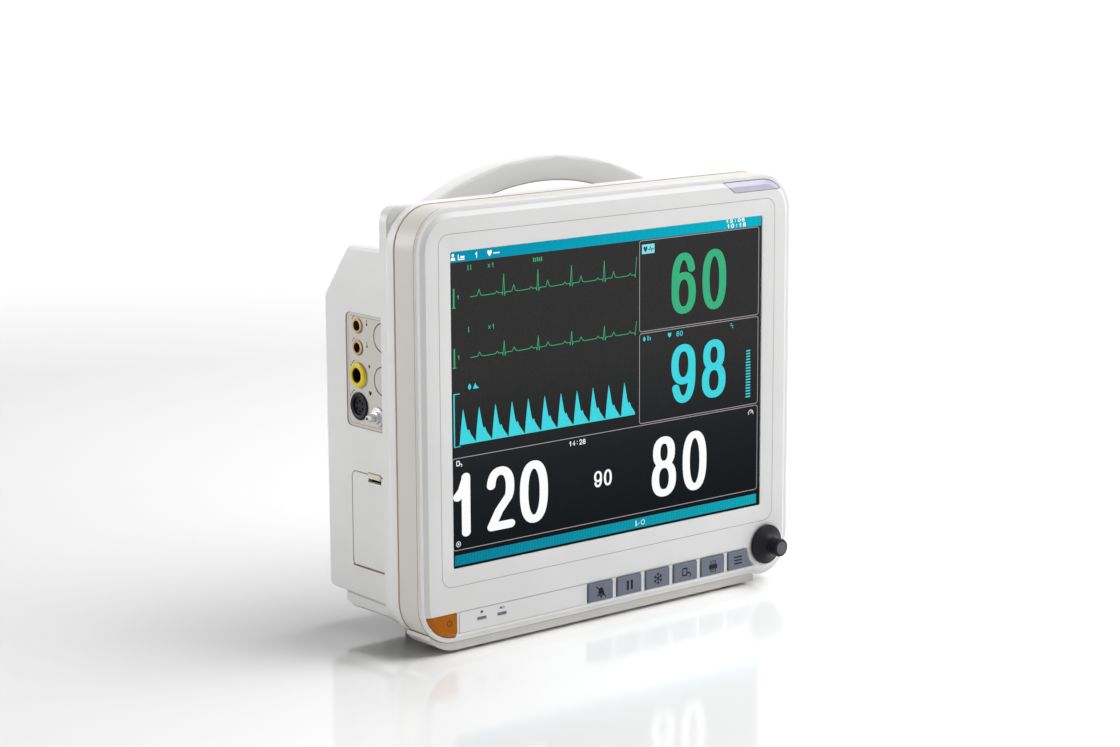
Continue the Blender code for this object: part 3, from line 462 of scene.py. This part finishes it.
# ---------------------------------------------------------------- carried-over nodes
def refine(obj, finishes):
    """Joins a frame node's loose triangles, shades its round areas smooth and gives each slot its material
    from finishes.
    """
    obj.data.shade_smooth()
    weld = obj.modifiers.new("weld", "WELD")
    weld.merge_threshold = WELD
    split = obj.modifiers.new("edges", "EDGE_SPLIT")
    split.split_angle = math.radians(SHARP_ANGLE)
    normals = obj.modifiers.new("normals", "WEIGHTED_NORMAL")
    normals.weight = FACE_WEIGHT
    for slot in obj.material_slots:
        slot.material = finishes[slot.material.name.split(".")[0]]


# ---------------------------------------------------------------- flat shapes
class Drawing:
    """Flat shapes on one plane of the monitor, kept as strips between two rows of points.

    solid() makes them one thin solid. place(a, b, level) gives a point from a shape's two coordinates and
    the plane's level. The methods that draw a shape return the drawing.
    """

    def __init__(self, place):
        self.place = place
        self.strips = []

    def strip(self, first, second, closed=False):
        self.strips.append((first, second, closed))
        return self

    def box(self, a0, a1, b0, b1):
        return self.strip([(a0, b0), (a1, b0)], [(a0, b1), (a1, b1)])

    def loop(self, outline, width):
        """A line of that width along a closed outline's inner side."""
        inner = []
        count = len(outline)
        for i, (a, b) in enumerate(outline):
            before, after = outline[i - 1], outline[(i + 1) % count]
            along = Vector((after[0] - before[0], after[1] - before[1])).normalized()
            inner.append((a - along.y * width, b + along.x * width))
        return self.strip(outline, inner, True)

    def ring(self, a, b, radius, width, steps=32):
        outer = circle(a, b, radius, steps)
        inner = circle(a, b, radius - width, steps)
        return self.strip(outer, inner, True)

    def disc(self, a, b, radius, steps=20):
        """A filled circle, drawn as a strip between its two halves."""
        turns = [math.pi * i / steps for i in range(steps + 1)]
        upper = [(a - radius * math.cos(t), b + radius * math.sin(t)) for t in turns]
        lower = [(a - radius * math.cos(t), b - radius * math.sin(t)) for t in turns]
        return self.strip(lower[1:-1], upper[1:-1])

    def stroke(self, path, pen, closed=False, caps=5):
        """A line drawn along path with an elliptical pen of half-widths pen."""
        left, right = [], []
        count = len(path)
        for i, point in enumerate(path):
            before = path[i - 1] if closed or i else point
            after = path[(i + 1) % count] if closed or i < count - 1 else point
            along = Vector((after[0] - before[0], after[1] - before[1]))
            side = reach(pen, -along.y, along.x)
            left.append((point[0] + side[0], point[1] + side[1]))
            right.append((point[0] - side[0], point[1] - side[1]))
        if not closed:
            left, right = self.capped(path, pen, left, right, caps)
        return self.strip(left, right, closed)

    def capped(self, path, pen, left, right, caps):
        """Adds round ends to a stroke's two sides."""
        ends = []
        for end, other in ((path[0], path[1]), (path[-1], path[-2])):
            out = math.atan2(end[1] - other[1], end[0] - other[0])
            turns = [math.radians(90 - 84 * i / caps) for i in range(1, caps + 1)]
            rim = []
            for side in (1, -1):
                for turn in turns:
                    out_a, out_b = reach(pen, math.cos(out + side * turn), math.sin(out + side * turn))
                    rim.append((end[0] + out_a, end[1] + out_b))
            ends.append(rim)
        start_a, start_b = ends[0][:caps], ends[0][caps:]
        stop_a, stop_b = ends[1][:caps], ends[1][caps:]
        left = start_b[::-1] + left + stop_a
        right = start_a[::-1] + right + stop_b
        return left, right

    def enlarge(self, scale, a, b):
        """Scales a sign drawn about (0, 0) and moves it to (a, b)."""
        def moved(row):
            return [(a + scale * x, b + scale * y) for x, y in row]

        self.strips = [(moved(first), moved(second), closed) for first, second, closed in self.strips]

    def solid(self, name, level, thick, material, body, slot):
        """The drawing as one thin solid from level to level + thick, riding on body."""
        bm = bmesh.new()
        for first, second, closed in self.strips:
            (front_a, front_b), (back_a, back_b) = (
                [[bm.verts.new(self.place(a, b, depth)) for a, b in row] for row in (first, second)]
                for depth in (level, level + thick)
            )
            count = len(first)
            for i in range(count if closed else count - 1):
                k = (i + 1) % count
                bm.faces.new((front_a[i], front_a[k], front_b[k], front_b[i]))
                bm.faces.new((back_a[i], back_b[i], back_b[k], back_a[k]))
                bm.faces.new((front_a[i], back_a[i], back_a[k], front_a[k]))
                bm.faces.new((front_b[i], front_b[k], back_b[k], back_b[i]))
            if not closed:
                bm.faces.new((front_a[0], front_b[0], back_b[0], back_a[0]))
                bm.faces.new((front_a[-1], back_a[-1], back_b[-1], front_b[-1]))
        bmesh.ops.recalc_face_normals(bm, faces=bm.faces)
        add_piece(name, bm, material, body)


def reach(pen, a, b):
    """Where an elliptical pen's edge is furthest in the direction (a, b)."""
    length = math.hypot(pen[0] * a, pen[1] * b) or 1.0
    return pen[0] ** 2 * a / length, pen[1] ** 2 * b / length


def add_piece(name, bm, material, body):
    mesh = bpy.data.meshes.new(name)
    bm.to_mesh(mesh)
    bm.free()
    obj = bpy.data.objects.new(name, mesh)
    mesh.materials.append(material)
    bpy.context.scene.collection.objects.link(obj)
    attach(obj, body)


def arc(a, b, radius, start, end, steps):
    """Points along an arc, with angles in degrees."""
    turns = [math.radians(start + (end - start) * i / steps) for i in range(steps + 1)]
    return [(a + radius * math.cos(t), b + radius * math.sin(t)) for t in turns]


def circle(a, b, radius, steps=32):
    return arc(a, b, radius, 0, 360, steps)[:-1]


def rounded(low_a, high_a, low_b, high_b, radius, steps=6):
    """A rectangle with round corners, as points running anticlockwise."""
    return (
        arc(low_a + radius, low_b + radius, radius, 180, 270, steps)
        + arc(high_a - radius, low_b + radius, radius, 270, 360, steps)
        + arc(high_a - radius, high_b - radius, radius, 0, 90, steps)
        + arc(low_a + radius, high_b - radius, radius, 90, 180, steps)
    )


def grown(shape, by, steps):
    """A round-cornered rectangle, given as its sides and corner radius, grown by that much all round."""
    (low_a, high_a, low_b, high_b), radius = shape
    return rounded(low_a - by, high_a + by, low_b - by, high_b + by, radius + by, steps)


def case_outline(inset):
    edge = CASE_HALF - inset
    return rounded(-edge, edge, CASE_BASE + inset, CASE_TOP - inset, CASE_RADIUS - inset, 10)


def front(a, b, level):
    """Places an (x, height) shape on the front."""
    return at(a, level, b)


def on_screen(a, b, level):
    """Places an (x, height above the display opening's lower edge) shape on the display."""
    return at(a, level, b + SCREEN_BASE)


def left_wall(a, b, level):
    """Places a (depth, height) shape on the left side."""
    return at(level, a, b)


# ---------------------------------------------------------------- numerals and signs
SQUARENESS = 2.35  # 2 would make the numerals' bows plain ellipses


def superellipse(a, b, half_a, half_b, start, end, steps):
    """Points of a slightly squared ellipse, with angles in degrees."""
    points = []
    for i in range(steps + 1):
        turn = math.radians(start + (end - start) * i / steps)
        cos, sin = math.cos(turn), math.sin(turn)
        points.append((
            a + half_a * math.copysign(abs(cos) ** (2 / SQUARENESS), cos),
            b + half_b * math.copysign(abs(sin) ** (2 / SQUARENESS), sin),
        ))
    return points


def numeral_paths(digit):
    """A digit's centre lines as (points, closed), in a box one wide and one tall."""
    if digit == "0":
        return [(superellipse(0.5, 0.5, 0.5, 0.5, 0, 360, 32)[:-1], True)]
    if digit == "1":
        return [([(0.62, 0.0), (0.62, 1.0)], False), ([(0.62, 0.97), (0.40, 0.77), (0.12, 0.66)], False)]
    if digit == "2":
        bow = superellipse(0.5, 0.70, 0.47, 0.30, 172, -38, 18)
        return [(bow + [(0.42, 0.28), (0.04, 0.0)], False), ([(0.04, 0.0), (1.0, 0.0)], False)]
    if digit == "3":
        top = superellipse(0.45, 0.74, 0.45, 0.26, 155, -80, 14)
        low = superellipse(0.45, 0.27, 0.52, 0.27, 80, -155, 14)
        return [(top, False), (low, False)]
    if digit == "4":
        return [([(0.72, 0.0), (0.72, 1.0), (0.0, 0.30), (1.0, 0.30)], False)]
    if digit == "5":
        bowl = superellipse(0.46, 0.32, 0.52, 0.32, 120, -150, 18)
        return [([(0.92, 1.0), (0.18, 1.0), (0.08, 0.52)] + bowl, False)]
    if digit == "6":
        low = superellipse(0.5, 0.32, 0.5, 0.32, 0, 360, 30)[:-1]
        back = superellipse(0.5, 0.5, 0.5, 0.5, 180, 28, 18)
        return [(low, True), ([(0.0, 0.32), (0.0, 0.42)] + back, False)]
    if digit == "7":
        return [([(0.0, 1.0), (1.0, 1.0), (0.55, 0.5), (0.35, 0.0)], False)]
    if digit == "8":
        low = superellipse(0.5, 0.27, 0.5, 0.27, 0, 360, 30)[:-1]
        top = superellipse(0.5, 0.77, 0.43, 0.23, 0, 360, 28)[:-1]
        return [(low, True), (top, True)]
    return [([(1 - a, 1 - b) for a, b in points], closed) for points, closed in numeral_paths("6")]


def write_number(drawing, text, left, base, width, height, pitch, pen):
    """Draws digits and colons.

    width and height are one digit's, and pitch is from one digit to the next.
    """
    for i, sign in enumerate(text):
        origin = left + i * pitch + pen[0]
        if sign == ":":
            for share in (0.28, 0.72):
                drawing.disc(origin + (width / 2 - pen[0]), base + height * share, pen[0] * 1.1, 8)
            continue
        for points, closed in numeral_paths(sign):
            path = [
                (origin + a * (width - 2 * pen[0]), base + pen[1] + b * (height - 2 * pen[1]))
                for a, b in points
            ]
            drawing.stroke(path, pen, closed)
    return drawing


def draw_heart(drawing, a, b, size):
    """A solid heart, filled between its upper and lower edges."""
    rows = 14
    upper, lower = [], []
    for i in range(1, rows):
        x = -1 + 2 * i / rows
        bulge = math.sqrt(max(0.0, 1 - (2 * abs(x) - 1) ** 2))
        upper.append((a + x * size / 2, b + size * (0.22 + 0.26 * bulge)))
        lower.append((a + x * size / 2, b - size * (0.50 - 0.62 * abs(x) ** 1.2)))
    drawing.strip(lower, upper)


def draw_drop(drawing, a, b, size):
    """A solid drop."""
    rows = 14
    left, right = [], []
    for i in range(1, rows):
        share = i / rows
        half = 0.36 * size * math.sin(math.pi * share) * (1.0 - 0.45 * share)
        level = b - 0.5 * size + share * size
        left.append((a - half, level))
        right.append((a + half, level))
    drawing.strip(left, right)


def draw_cuff(drawing, a, b, size):
    """An arm cuff: a band with its tube."""
    end = a + 0.18 * size
    band = rounded(a - 0.42 * size, end, b - 0.34 * size, b + 0.40 * size, 0.1 * size, 3)
    drawing.loop(band, 0.12 * size)
    hose = [(end, b - 0.05 * size), (a + 0.36 * size, b - 0.1 * size)]
    hose += arc(a + 0.36 * size, b - 0.28 * size, 0.18 * size, 80, -60, 8)
    drawing.stroke(hose, (0.055 * size, 0.055 * size))


# ---------------------------------------------------------------- display picture
def draw_on_screen(drawing, name, material, level=SCREEN_LAYER):
    drawing.solid(f"screen_{name}", level, PRINT_THICK, material, "casing", "screen")


ECG_BEATS = (-84.0, -58.2, -32.4, -6.6, 19.2)
PULSE_PEAK = 21.0
PULSE_RISE = 2.6
PULSE_FALL = ((0.0, PULSE_PEAK), (0.8, 17.5), (2.6, 9.0), (3.4, 7.4), (4.3, 8.2), (5.4, 5.4), (9.2, 0.4))
PULSE_PEAKS = (-115.0, -103.2, -91.0, -78.6, -66.2, -53.6, -41.0, -28.4, -15.8, -3.2, 9.4)


def beat(x, base, peak, wave):
    """One heartbeat that ends in its sharp peak, as points from the last one's wave to this peak."""
    return [
        (x - 19.8, base + 0.3),
        (x - 18.4, base + wave),
        (x - 17.2, base + 0.6),
        (x - 15.6, base),
        (x - 6.6, base + 0.2),
        (x - 5.2, base + 1.5),
        (x - 4.0, base + 0.2),
        (x - 1.6, base + 0.3),
        (x - 1.0, base - 1.3),
        (x, base + peak),
        (x + 0.6, base - 1.6),
        (x + 1.2, base + 0.2),
    ]


def draw_trace(drawing, base, peak, wave):
    path = [(-109.0, base)]
    for x in ECG_BEATS:
        path += beat(x, base, peak, wave)
    path = path[:-2]
    for first, second in zip(path, path[1:]):
        drawing.stroke([first, second], (0.2, 0.2), caps=2)


def make_ecg(materials):
    drawing = Drawing(on_screen)
    draw_trace(drawing, 159.0, 11.0, 4.0)
    draw_trace(drawing, 123.5, 7.0, 2.6)
    for base in (154.0, 119.0):
        drawing.box(-121.4, -120.4, base, base + 11.0)
        drawing.box(-122.2, -119.6, base - 0.5, base)
        write_number(drawing, "1", -118.6, base + 4.4, 1.7, 2.6, 2.2, (0.22, 0.2))
    for level, bars in ((174.6, 2), (138.6, 1)):
        for i in range(bars):
            drawing.box(-110.6 + 2.0 * i, -110.0 + 2.0 * i, level, level + 3.2)
        write_number(drawing, "1", -93.0, level, 1.9, 3.0, 2.4, (0.24, 0.22))
        drawing.stroke([(-95.6, level + 0.4), (-94.2, level + 2.2)], (0.2, 0.2))
        drawing.stroke([(-95.6, level + 2.2), (-94.2, level + 0.4)], (0.2, 0.2))
    for i in range(5):
        drawing.box(-61.8 + 1.5 * i, -61.0 + 1.5 * i, 174.8, 177.4 - 0.4 * (i % 2))
    draw_on_screen(drawing, "ecg_traces", materials["green"])


def pulse_height(x):
    """The pulse wave's height above its base: a fast rise, then a fall with one shoulder."""
    before = [p for p in PULSE_PEAKS if p <= x]
    after = [p for p in PULSE_PEAKS if p > x]
    if after and after[0] - x < PULSE_RISE:
        return PULSE_PEAK * (1 - (after[0] - x) / PULSE_RISE) ** 0.8
    if not before:
        return 0.0
    past = x - before[-1]
    for (x0, y0), (x1, y1) in zip(PULSE_FALL, PULSE_FALL[1:]):
        if past <= x1:
            return y0 + (y1 - y0) * (past - x0) / (x1 - x0)
    return 0.3


def make_pulse_wave(materials):
    drawing = Drawing(on_screen)
    steps = 560
    start, end = -118.2, 18.0
    xs = [start + (end - start) * i / steps for i in range(steps + 1)]
    base = 73.0
    drawing.strip([(x, base) for x in xs], [(x, base + 0.3 + pulse_height(x)) for x in xs])
    # The scale at its left
    drawing.box(-121.9, -121.1, 72.4, 103.0)
    drawing.box(-121.9, -117.2, 72.0, 72.4)
    drawing.box(-121.9, -117.4, 103.0, 103.6)
    draw_drop(drawing, -110.0, 106.6, 4.0)
    drawing.strip(
        [(-107.4, 105.0), (-105.8, 105.0), (-104.8, 105.0), (-103.2, 105.0)],
        [(-107.4, 105.4), (-105.8, 108.4), (-104.8, 106.4), (-103.2, 105.4)],
    )
    # The oxygen's column of bars, and the signs over its reading
    for i in range(17):
        level = 71.4 + 1.84 * i
        reach_in = 0.3 if i > 12 else 0.0
        drawing.box(111.6 + reach_in, 115.6 - reach_in, level, level + 0.9)
    draw_drop(drawing, 25.6, 119.0, 3.4)
    drawing.box(28.2, 29.0, 117.6, 120.6)
    drawing.box(30.0, 30.8, 117.6, 119.6)
    draw_heart(drawing, 46.4, 119.0, 3.2)
    write_number(drawing, "60", 52.2, 117.4, 2.3, 3.2, 2.9, (0.26, 0.24))
    drawing.box(98.0, 100.4, 118.8, 119.2)
    drawing.disc(98.6, 120.2, 0.45, 6)
    drawing.disc(99.8, 117.8, 0.45, 6)
    draw_on_screen(drawing, "pulse_wave", materials["cyan"])


def make_readings(materials):
    pen = (3.0, 2.3)
    heart = write_number(Drawing(on_screen), "60", 48.0, 131.0, 20.2, 38.0, 25.8, pen)
    draw_on_screen(heart, "heart_rate", materials["green"])
    oxygen = write_number(Drawing(on_screen), "98", 48.0, 75.0, 20.2, 37.0, 25.8, pen)
    draw_on_screen(oxygen, "oxygen", materials["cyan"])
    pressure = Drawing(on_screen)
    bold = (3.2, 2.5)
    write_number(pressure, "1", -124.4, 18.0, 18.8, 38.0, 25.0, bold)
    write_number(pressure, "20", -98.4, 18.0, 21.6, 38.0, 25.4, bold)
    write_number(pressure, "80", 32.0, 18.0, 20.2, 38.0, 25.8, pen)
    write_number(pressure, "90", -15.0, 32.0, 6.3, 10.0, 7.9, (0.82, 0.66))
    write_number(pressure, "14:28", -34.8, 60.4, 2.2, 3.2, 2.7, (0.26, 0.24))
    draw_cuff(pressure, -118.6, 62.2, 4.2)
    pressure.ring(-119.4, 14.2, 1.7, 0.35, 16)
    pressure.disc(-119.4, 14.2, 0.6, 8)
    dial = (116.2, 60.8)
    pressure.stroke(arc(*dial, 2.0, 200, -20, 12), FINE_PEN)
    pressure.stroke([dial, (117.2, 62.0)], FINE_PEN)
    draw_on_screen(pressure, "pressure", materials["white"])


def make_frames(materials):
    """Thin round-cornered frames about the three groups of readings."""
    drawing = Drawing(on_screen)
    boxes = ((21.5, 122.2, 123.4, 179.6), (21.5, 122.2, 66.4, 122.6), (-123.4, 122.2, 10.4, 65.6))
    for low_a, high_a, low_b, high_b in boxes:
        drawing.loop(rounded(low_a, high_a, low_b, high_b, 1.8, 4), 0.42)
    draw_on_screen(drawing, "frames", materials["frame_line"])


def make_bars(materials):
    """The bars along the top and the bottom, and the small signs on them and on the heart rate's tag."""
    top = Drawing(on_screen).box(-SCREEN_HALF + 0.5, SCREEN_HALF - 0.4, 180.0, 186.2)
    draw_on_screen(top, "top_bar", materials["top_bar"])
    bottom = Drawing(on_screen).box(-122.2, 121.6, 1.4, 7.6)
    draw_on_screen(bottom, "bottom_bar", materials["bottom_bar"])
    clock_pen = (0.3, 0.26)
    marks = Drawing(on_screen)
    # A person, a bed and a heart, then the clock
    marks.disc(-121.2, 184.3, 0.9, 10)
    marks.strip([(-123.0, 181.2), (-119.4, 181.2)], [(-122.4, 183.0), (-120.0, 183.0)])
    marks.box(-117.6, -112.8, 181.2, 181.8)
    marks.box(-117.6, -117.0, 181.8, 184.4)
    marks.box(-115.8, -112.8, 182.2, 183.4)
    write_number(marks, "1", -105.2, 181.3, 2.2, 3.6, 3.0, (0.3, 0.28))
    draw_heart(marks, -94.4, 183.2, 3.6)
    marks.box(-91.6, -87.0, 182.6, 183.2)
    write_number(marks, "12:06", 93.4, 183.9, 2.4, 2.3, 3.4, clock_pen)
    write_number(marks, "10:18", 94.4, 180.6, 2.4, 2.7, 3.4, clock_pen)
    marks.strip([(19.4, 3.0), (19.4, 3.2)], [(22.2, 4.5), (22.2, 4.7)])
    marks.box(18.6, 19.3, 2.8, 6.2)
    marks.ring(24.6, 4.5, 1.6, 0.35, 14)
    draw_on_screen(Drawing(on_screen).box(23.6, 33.8, 171.2, 177.0), "ecg_tag", materials["tag"])
    sign = Drawing(on_screen)
    draw_heart(sign, 26.4, 174.0, 3.6)
    pulse = [(28.8, 173.6), (29.8, 173.6), (30.4, 175.6), (31.2, 172.6), (31.8, 173.8), (32.9, 173.8)]
    sign.stroke(pulse, (0.3, 0.3))
    draw_on_screen(sign, "ecg_sign", materials["dark_sign"], SCREEN_TOP_LAYER)
    draw_on_screen(marks, "marks", materials["white"], SCREEN_TOP_LAYER)


def make_screen():
    low_z, high_z = at(0, 0, SCREEN_BASE).z, at(0, 0, SCREEN_BASE + SCREEN_HEIGHT).z
    across = (X_AXIS, -SCREEN_HALF * MM, SCREEN_HALF * MM)
    top_stops = [(0.0, (0.0, 0.27, 0.42)), (1.0, (0.001, 0.46, 0.58))]
    bottom_stops = [(0.0, (0.001, 0.22, 0.34)), (1.0, (0.004, 0.40, 0.48))]
    # The display's dark ground, lighter towards the top: a painted reflection on the matte panel
    ground_reflection_stops = [
        (0.0, (0.004, 0.006, 0.008)),
        (0.30, (0.012, 0.014, 0.016)),
        (0.6, (0.029, 0.029, 0.029)),
        (1.0, (0.031, 0.031, 0.031)),
    ]
    materials = {
        "green": plain_glow("display_green", (0.045, 0.45, 0.215)),
        "cyan": plain_glow("display_cyan", (0.055, 0.70, 0.78)),
        "white": plain_glow("display_white", (1.05, 1.05, 1.05)),
        "tag": plain_glow("display_tag", (0.25, 0.75, 0.80)),
        "frame_line": plain_glow("display_frame_line", (0.42, 0.38, 0.40)),
        "dark_sign": plain_glow("display_dark_sign", (0.02, 0.10, 0.12)),
        "top_bar": glow("display_top_bar", top_stops, *across, stripe=(4.5, 0.03)),
        "bottom_bar": glow("display_bottom_bar", bottom_stops, *across, stripe=(2.2, 0.18)),
    }
    # Dark ground with its painted reflection, brightening from the display's lower edge to its upper edge
    ground = glow("display_ground_reflection", ground_reflection_stops, Z_AXIS, low_z, high_z, ripple=0.1)
    margin = 0.15
    half = SCREEN_HALF - margin
    back = Drawing(on_screen).box(-half, half, margin, SCREEN_HEIGHT - margin)
    draw_on_screen(back, "ground", ground, SCREEN_BACK_LAYER)
    make_bars(materials)
    make_frames(materials)
    make_ecg(materials)
    make_pulse_wave(materials)
    make_readings(materials)


# ---------------------------------------------------------------- printed signs on keys and buttons
def print_on(drawing, name, surface, material, body):
    """Prints a drawing on a front surface, given as its depth."""
    drawing.solid(name, surface - PRINT_THICK, PRINT_THICK + PRINT_ROOT, material, body, "charcoal")


def sign_silence(drawing, a, b):
    """A bell with a stroke through it."""
    bell = arc(a, b + 0.5, 1.5, 0, 180, 10)
    drawing.strip(bell, [(a + (p - a) * 1.35, b - 1.3) for p, _ in bell])
    drawing.box(a - 2.5, a + 2.5, b - 2.0, b - 1.5)
    drawing.disc(a, b - 2.5, 0.6, 8)
    drawing.stroke([(a - 2.9, b + 2.7), (a + 2.9, b - 2.9)], (0.28, 0.28))


def sign_pause(drawing, a, b):
    drawing.box(a - 1.9, a - 0.6, b - 2.3, b + 2.3)
    drawing.box(a + 0.6, a + 1.9, b - 2.3, b + 2.3)


def sign_freeze(drawing, a, b):
    """A snow crystal."""
    for i in range(6):
        turn = math.radians(60 * i + 30)
        tip = (a + 2.7 * math.cos(turn), b + 2.7 * math.sin(turn))
        drawing.stroke([(a + 0.35 * math.cos(turn), b + 0.35 * math.sin(turn)), tip], (0.26, 0.26))
        for side in (-0.7, 0.7):
            fork = (a + 1.5 * math.cos(turn), b + 1.5 * math.sin(turn))
            out = (fork[0] + 1.1 * math.cos(turn + side), fork[1] + 1.1 * math.sin(turn + side))
            drawing.stroke([fork, out], (0.2, 0.2))


def sign_cuff(drawing, a, b):
    draw_cuff(drawing, a, b, 5.6)


def sign_print(drawing, a, b):
    """A sheet coming out of a printer."""
    drawing.box(a - 2.7, a + 2.7, b - 1.4, b + 0.7)
    drawing.loop(rounded(a - 1.7, a + 1.7, b + 0.9, b + 2.6, 0.2, 2), 0.35)
    drawing.loop(rounded(a - 1.9, a + 1.9, b - 2.9, b - 1.55, 0.2, 2), 0.35)


def sign_menu(drawing, a, b):
    for level in (-1.9, -0.3, 1.3):
        drawing.box(a - 2.6, a + 2.6, b + level, b + level + 0.75)


KEY_SIGNS = (
    ("silence", sign_silence),
    ("pause", sign_pause),
    ("freeze", sign_freeze),
    ("cuff", sign_cuff),
    ("print", sign_print),
    ("menu", sign_menu),
)


def make_key_signs(dark):
    for i, (name, draw) in enumerate(KEY_SIGNS):
        drawing = Drawing(front)
        middle = KEY_FIRST + KEY_PITCH * i + KEY_SLOT / 2
        draw(drawing, 0.0, 0.0)
        drawing.enlarge(SIGN_SCALE, middle - (1.6 if name == "menu" else 0.0), KEY_LEVEL)
        print_on(drawing, f"sign_{name}", KEY_FRONT, dark, f"key_{name}")


def make_knob_face(sheen_paint):
    """The knob's end face, painted lighter than the rest of the knob: a painted sheen."""
    print_on(Drawing(front).disc(KNOB_X, KNOB_Z, KNOB_FACE, 32), "knob_face", KNOB_TIP, sheen_paint, "knob")


def make_button_signs(dark, brown):
    power = Drawing(front)
    x, z = POWER_SIGN
    power.strip(arc(x, z, 1.9, 125, 415, 26), arc(x, z, 1.4, 125, 415, 26))
    power.box(x - 0.25, x + 0.25, z + 0.3, z + 2.3)
    print_on(power, "sign_power", POWER_FRONT, brown, "power_button")
    lamps = Drawing(front)
    plug, cell = LED_CENTRES
    lamps.box(plug - 0.9, plug + 0.9, 20.8, 21.8)
    lamps.box(plug - 0.6, plug - 0.35, 21.8, 22.4)
    lamps.box(plug + 0.35, plug + 0.6, 21.8, 22.4)
    lamps.box(plug - 0.12, plug + 0.12, 20.2, 20.8)
    lamps.loop(rounded(cell - 1.7, cell + 1.5, 20.5, 21.9, 0.2, 2), 0.22)
    lamps.box(cell + 1.5, cell + 1.9, 20.9, 21.5)
    lamps.box(cell - 1.3, cell + 0.2, 20.9, 21.5)
    print_on(lamps, "sign_lamps", PLATE_FRONT, dark, "casing")


def make_panel_signs(dark):
    """Small signs beside the side sockets: thermometers, a drop and a heart, with dashes round each one."""
    marks = Drawing(left_wall)
    for depth, height in TEMPERATURE_JACKS:
        beside, foot = depth - 8.8, height + 1.6
        marks.disc(beside, foot, 0.75, 10)
        sides = [[(beside + half, foot), (beside + half, foot + 3.0)] for half in (-0.22, 0.22)]
        marks.strip(*sides)
    draw_drop(marks, *PULSE_SIGN, 2.8)
    draw_heart(marks, *HEART_SIGN, 3.0)
    for (depth, height), radius in SOCKET_RIMS:
        for start in (28, 40, 52):
            inner = arc(depth, height, radius, start, start + 8, 3)
            marks.strip(inner, arc(depth, height, radius + 0.6, start, start + 8, 3))
    marks.solid("sign_panel", PANEL_OUT - 0.03, 0.05, dark, "casing", "charcoal")


# ---------------------------------------------------------------- seams and small lines
def seam_ring(name, outer, inner, low, high, material, place=front):
    Drawing(place).strip(outer, inner, True).solid(name, low, high - low, material, "casing", "cream")


def make_seams():
    """Warm-coloured joint lines between the casing's shells."""
    tan = moulded("seam_tan", (0.42, 0.29, 0.19), 0.6, grime_and_shade=0.2, wear=0.0)
    grey = moulded("seam_grey", (0.33, 0.30, 0.28), 0.6, grime_and_shade=0.2, wear=0.0)
    for name, low in (("seam_front", 1.04), ("seam_rear", 19.5)):
        seam_ring(name, case_outline(0.14), case_outline(0.28), low, low + 0.76, tan)
    proud, root, width = 0.02, 0.1, 0.3
    bevel = (grown(PLATE_BEVEL, 0.0, 8), grown(PLATE_BEVEL, -width, 8))
    seam_ring("seam_bevel", *bevel, PLATE_FRONT - proud, PLATE_FRONT + root, grey)
    for name, grow in (("seam_panel", 0.0), ("seam_panel_inner", -1.9)):
        line = (grown(PANEL, grow, 5), grown(PANEL, grow - width, 5))
        seam_ring(name, *line, PANEL_OUT - proud, PANEL_OUT + root, tan, left_wall)
    line = (grown(DOOR, 0.35, 5), grown(DOOR, 0.0, 5))
    seam_ring("seam_door", *line, -BOX_HALF - 0.03, -BOX_HALF + root, tan, left_wall)
    ends = (44.5, 135.5)
    lower = arc(0, HANDLE_CENTRE, HANDLE_INNER - 0.05, *ends, 40)
    upper = arc(0, HANDLE_CENTRE, HANDLE_INNER + 0.5, *ends, 40)
    Drawing(front).strip(lower, upper).solid("seam_handle", HANDLE_FRONT + 0.9, 0.5, tan, "casing", "cream")


# ---------------------------------------------------------------- whole
make_camera()
make_stage()
finishes = make_finishes()
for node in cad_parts.values():
    refine(node, finishes)
make_screen()
dark_ink = ink("print_dark", (0.012, 0.013, 0.020))
make_key_signs(dark_ink)
make_button_signs(dark_ink, ink("print_brown", (0.045, 0.014, 0.004)))
make_panel_signs(dark_ink)
# Lighter end face of the knob: a painted sheen where the face catches the light
make_knob_face(moulded("knob_face_sheen", (0.085, 0.083, 0.098), 0.5, grain=0.01))
make_seams()
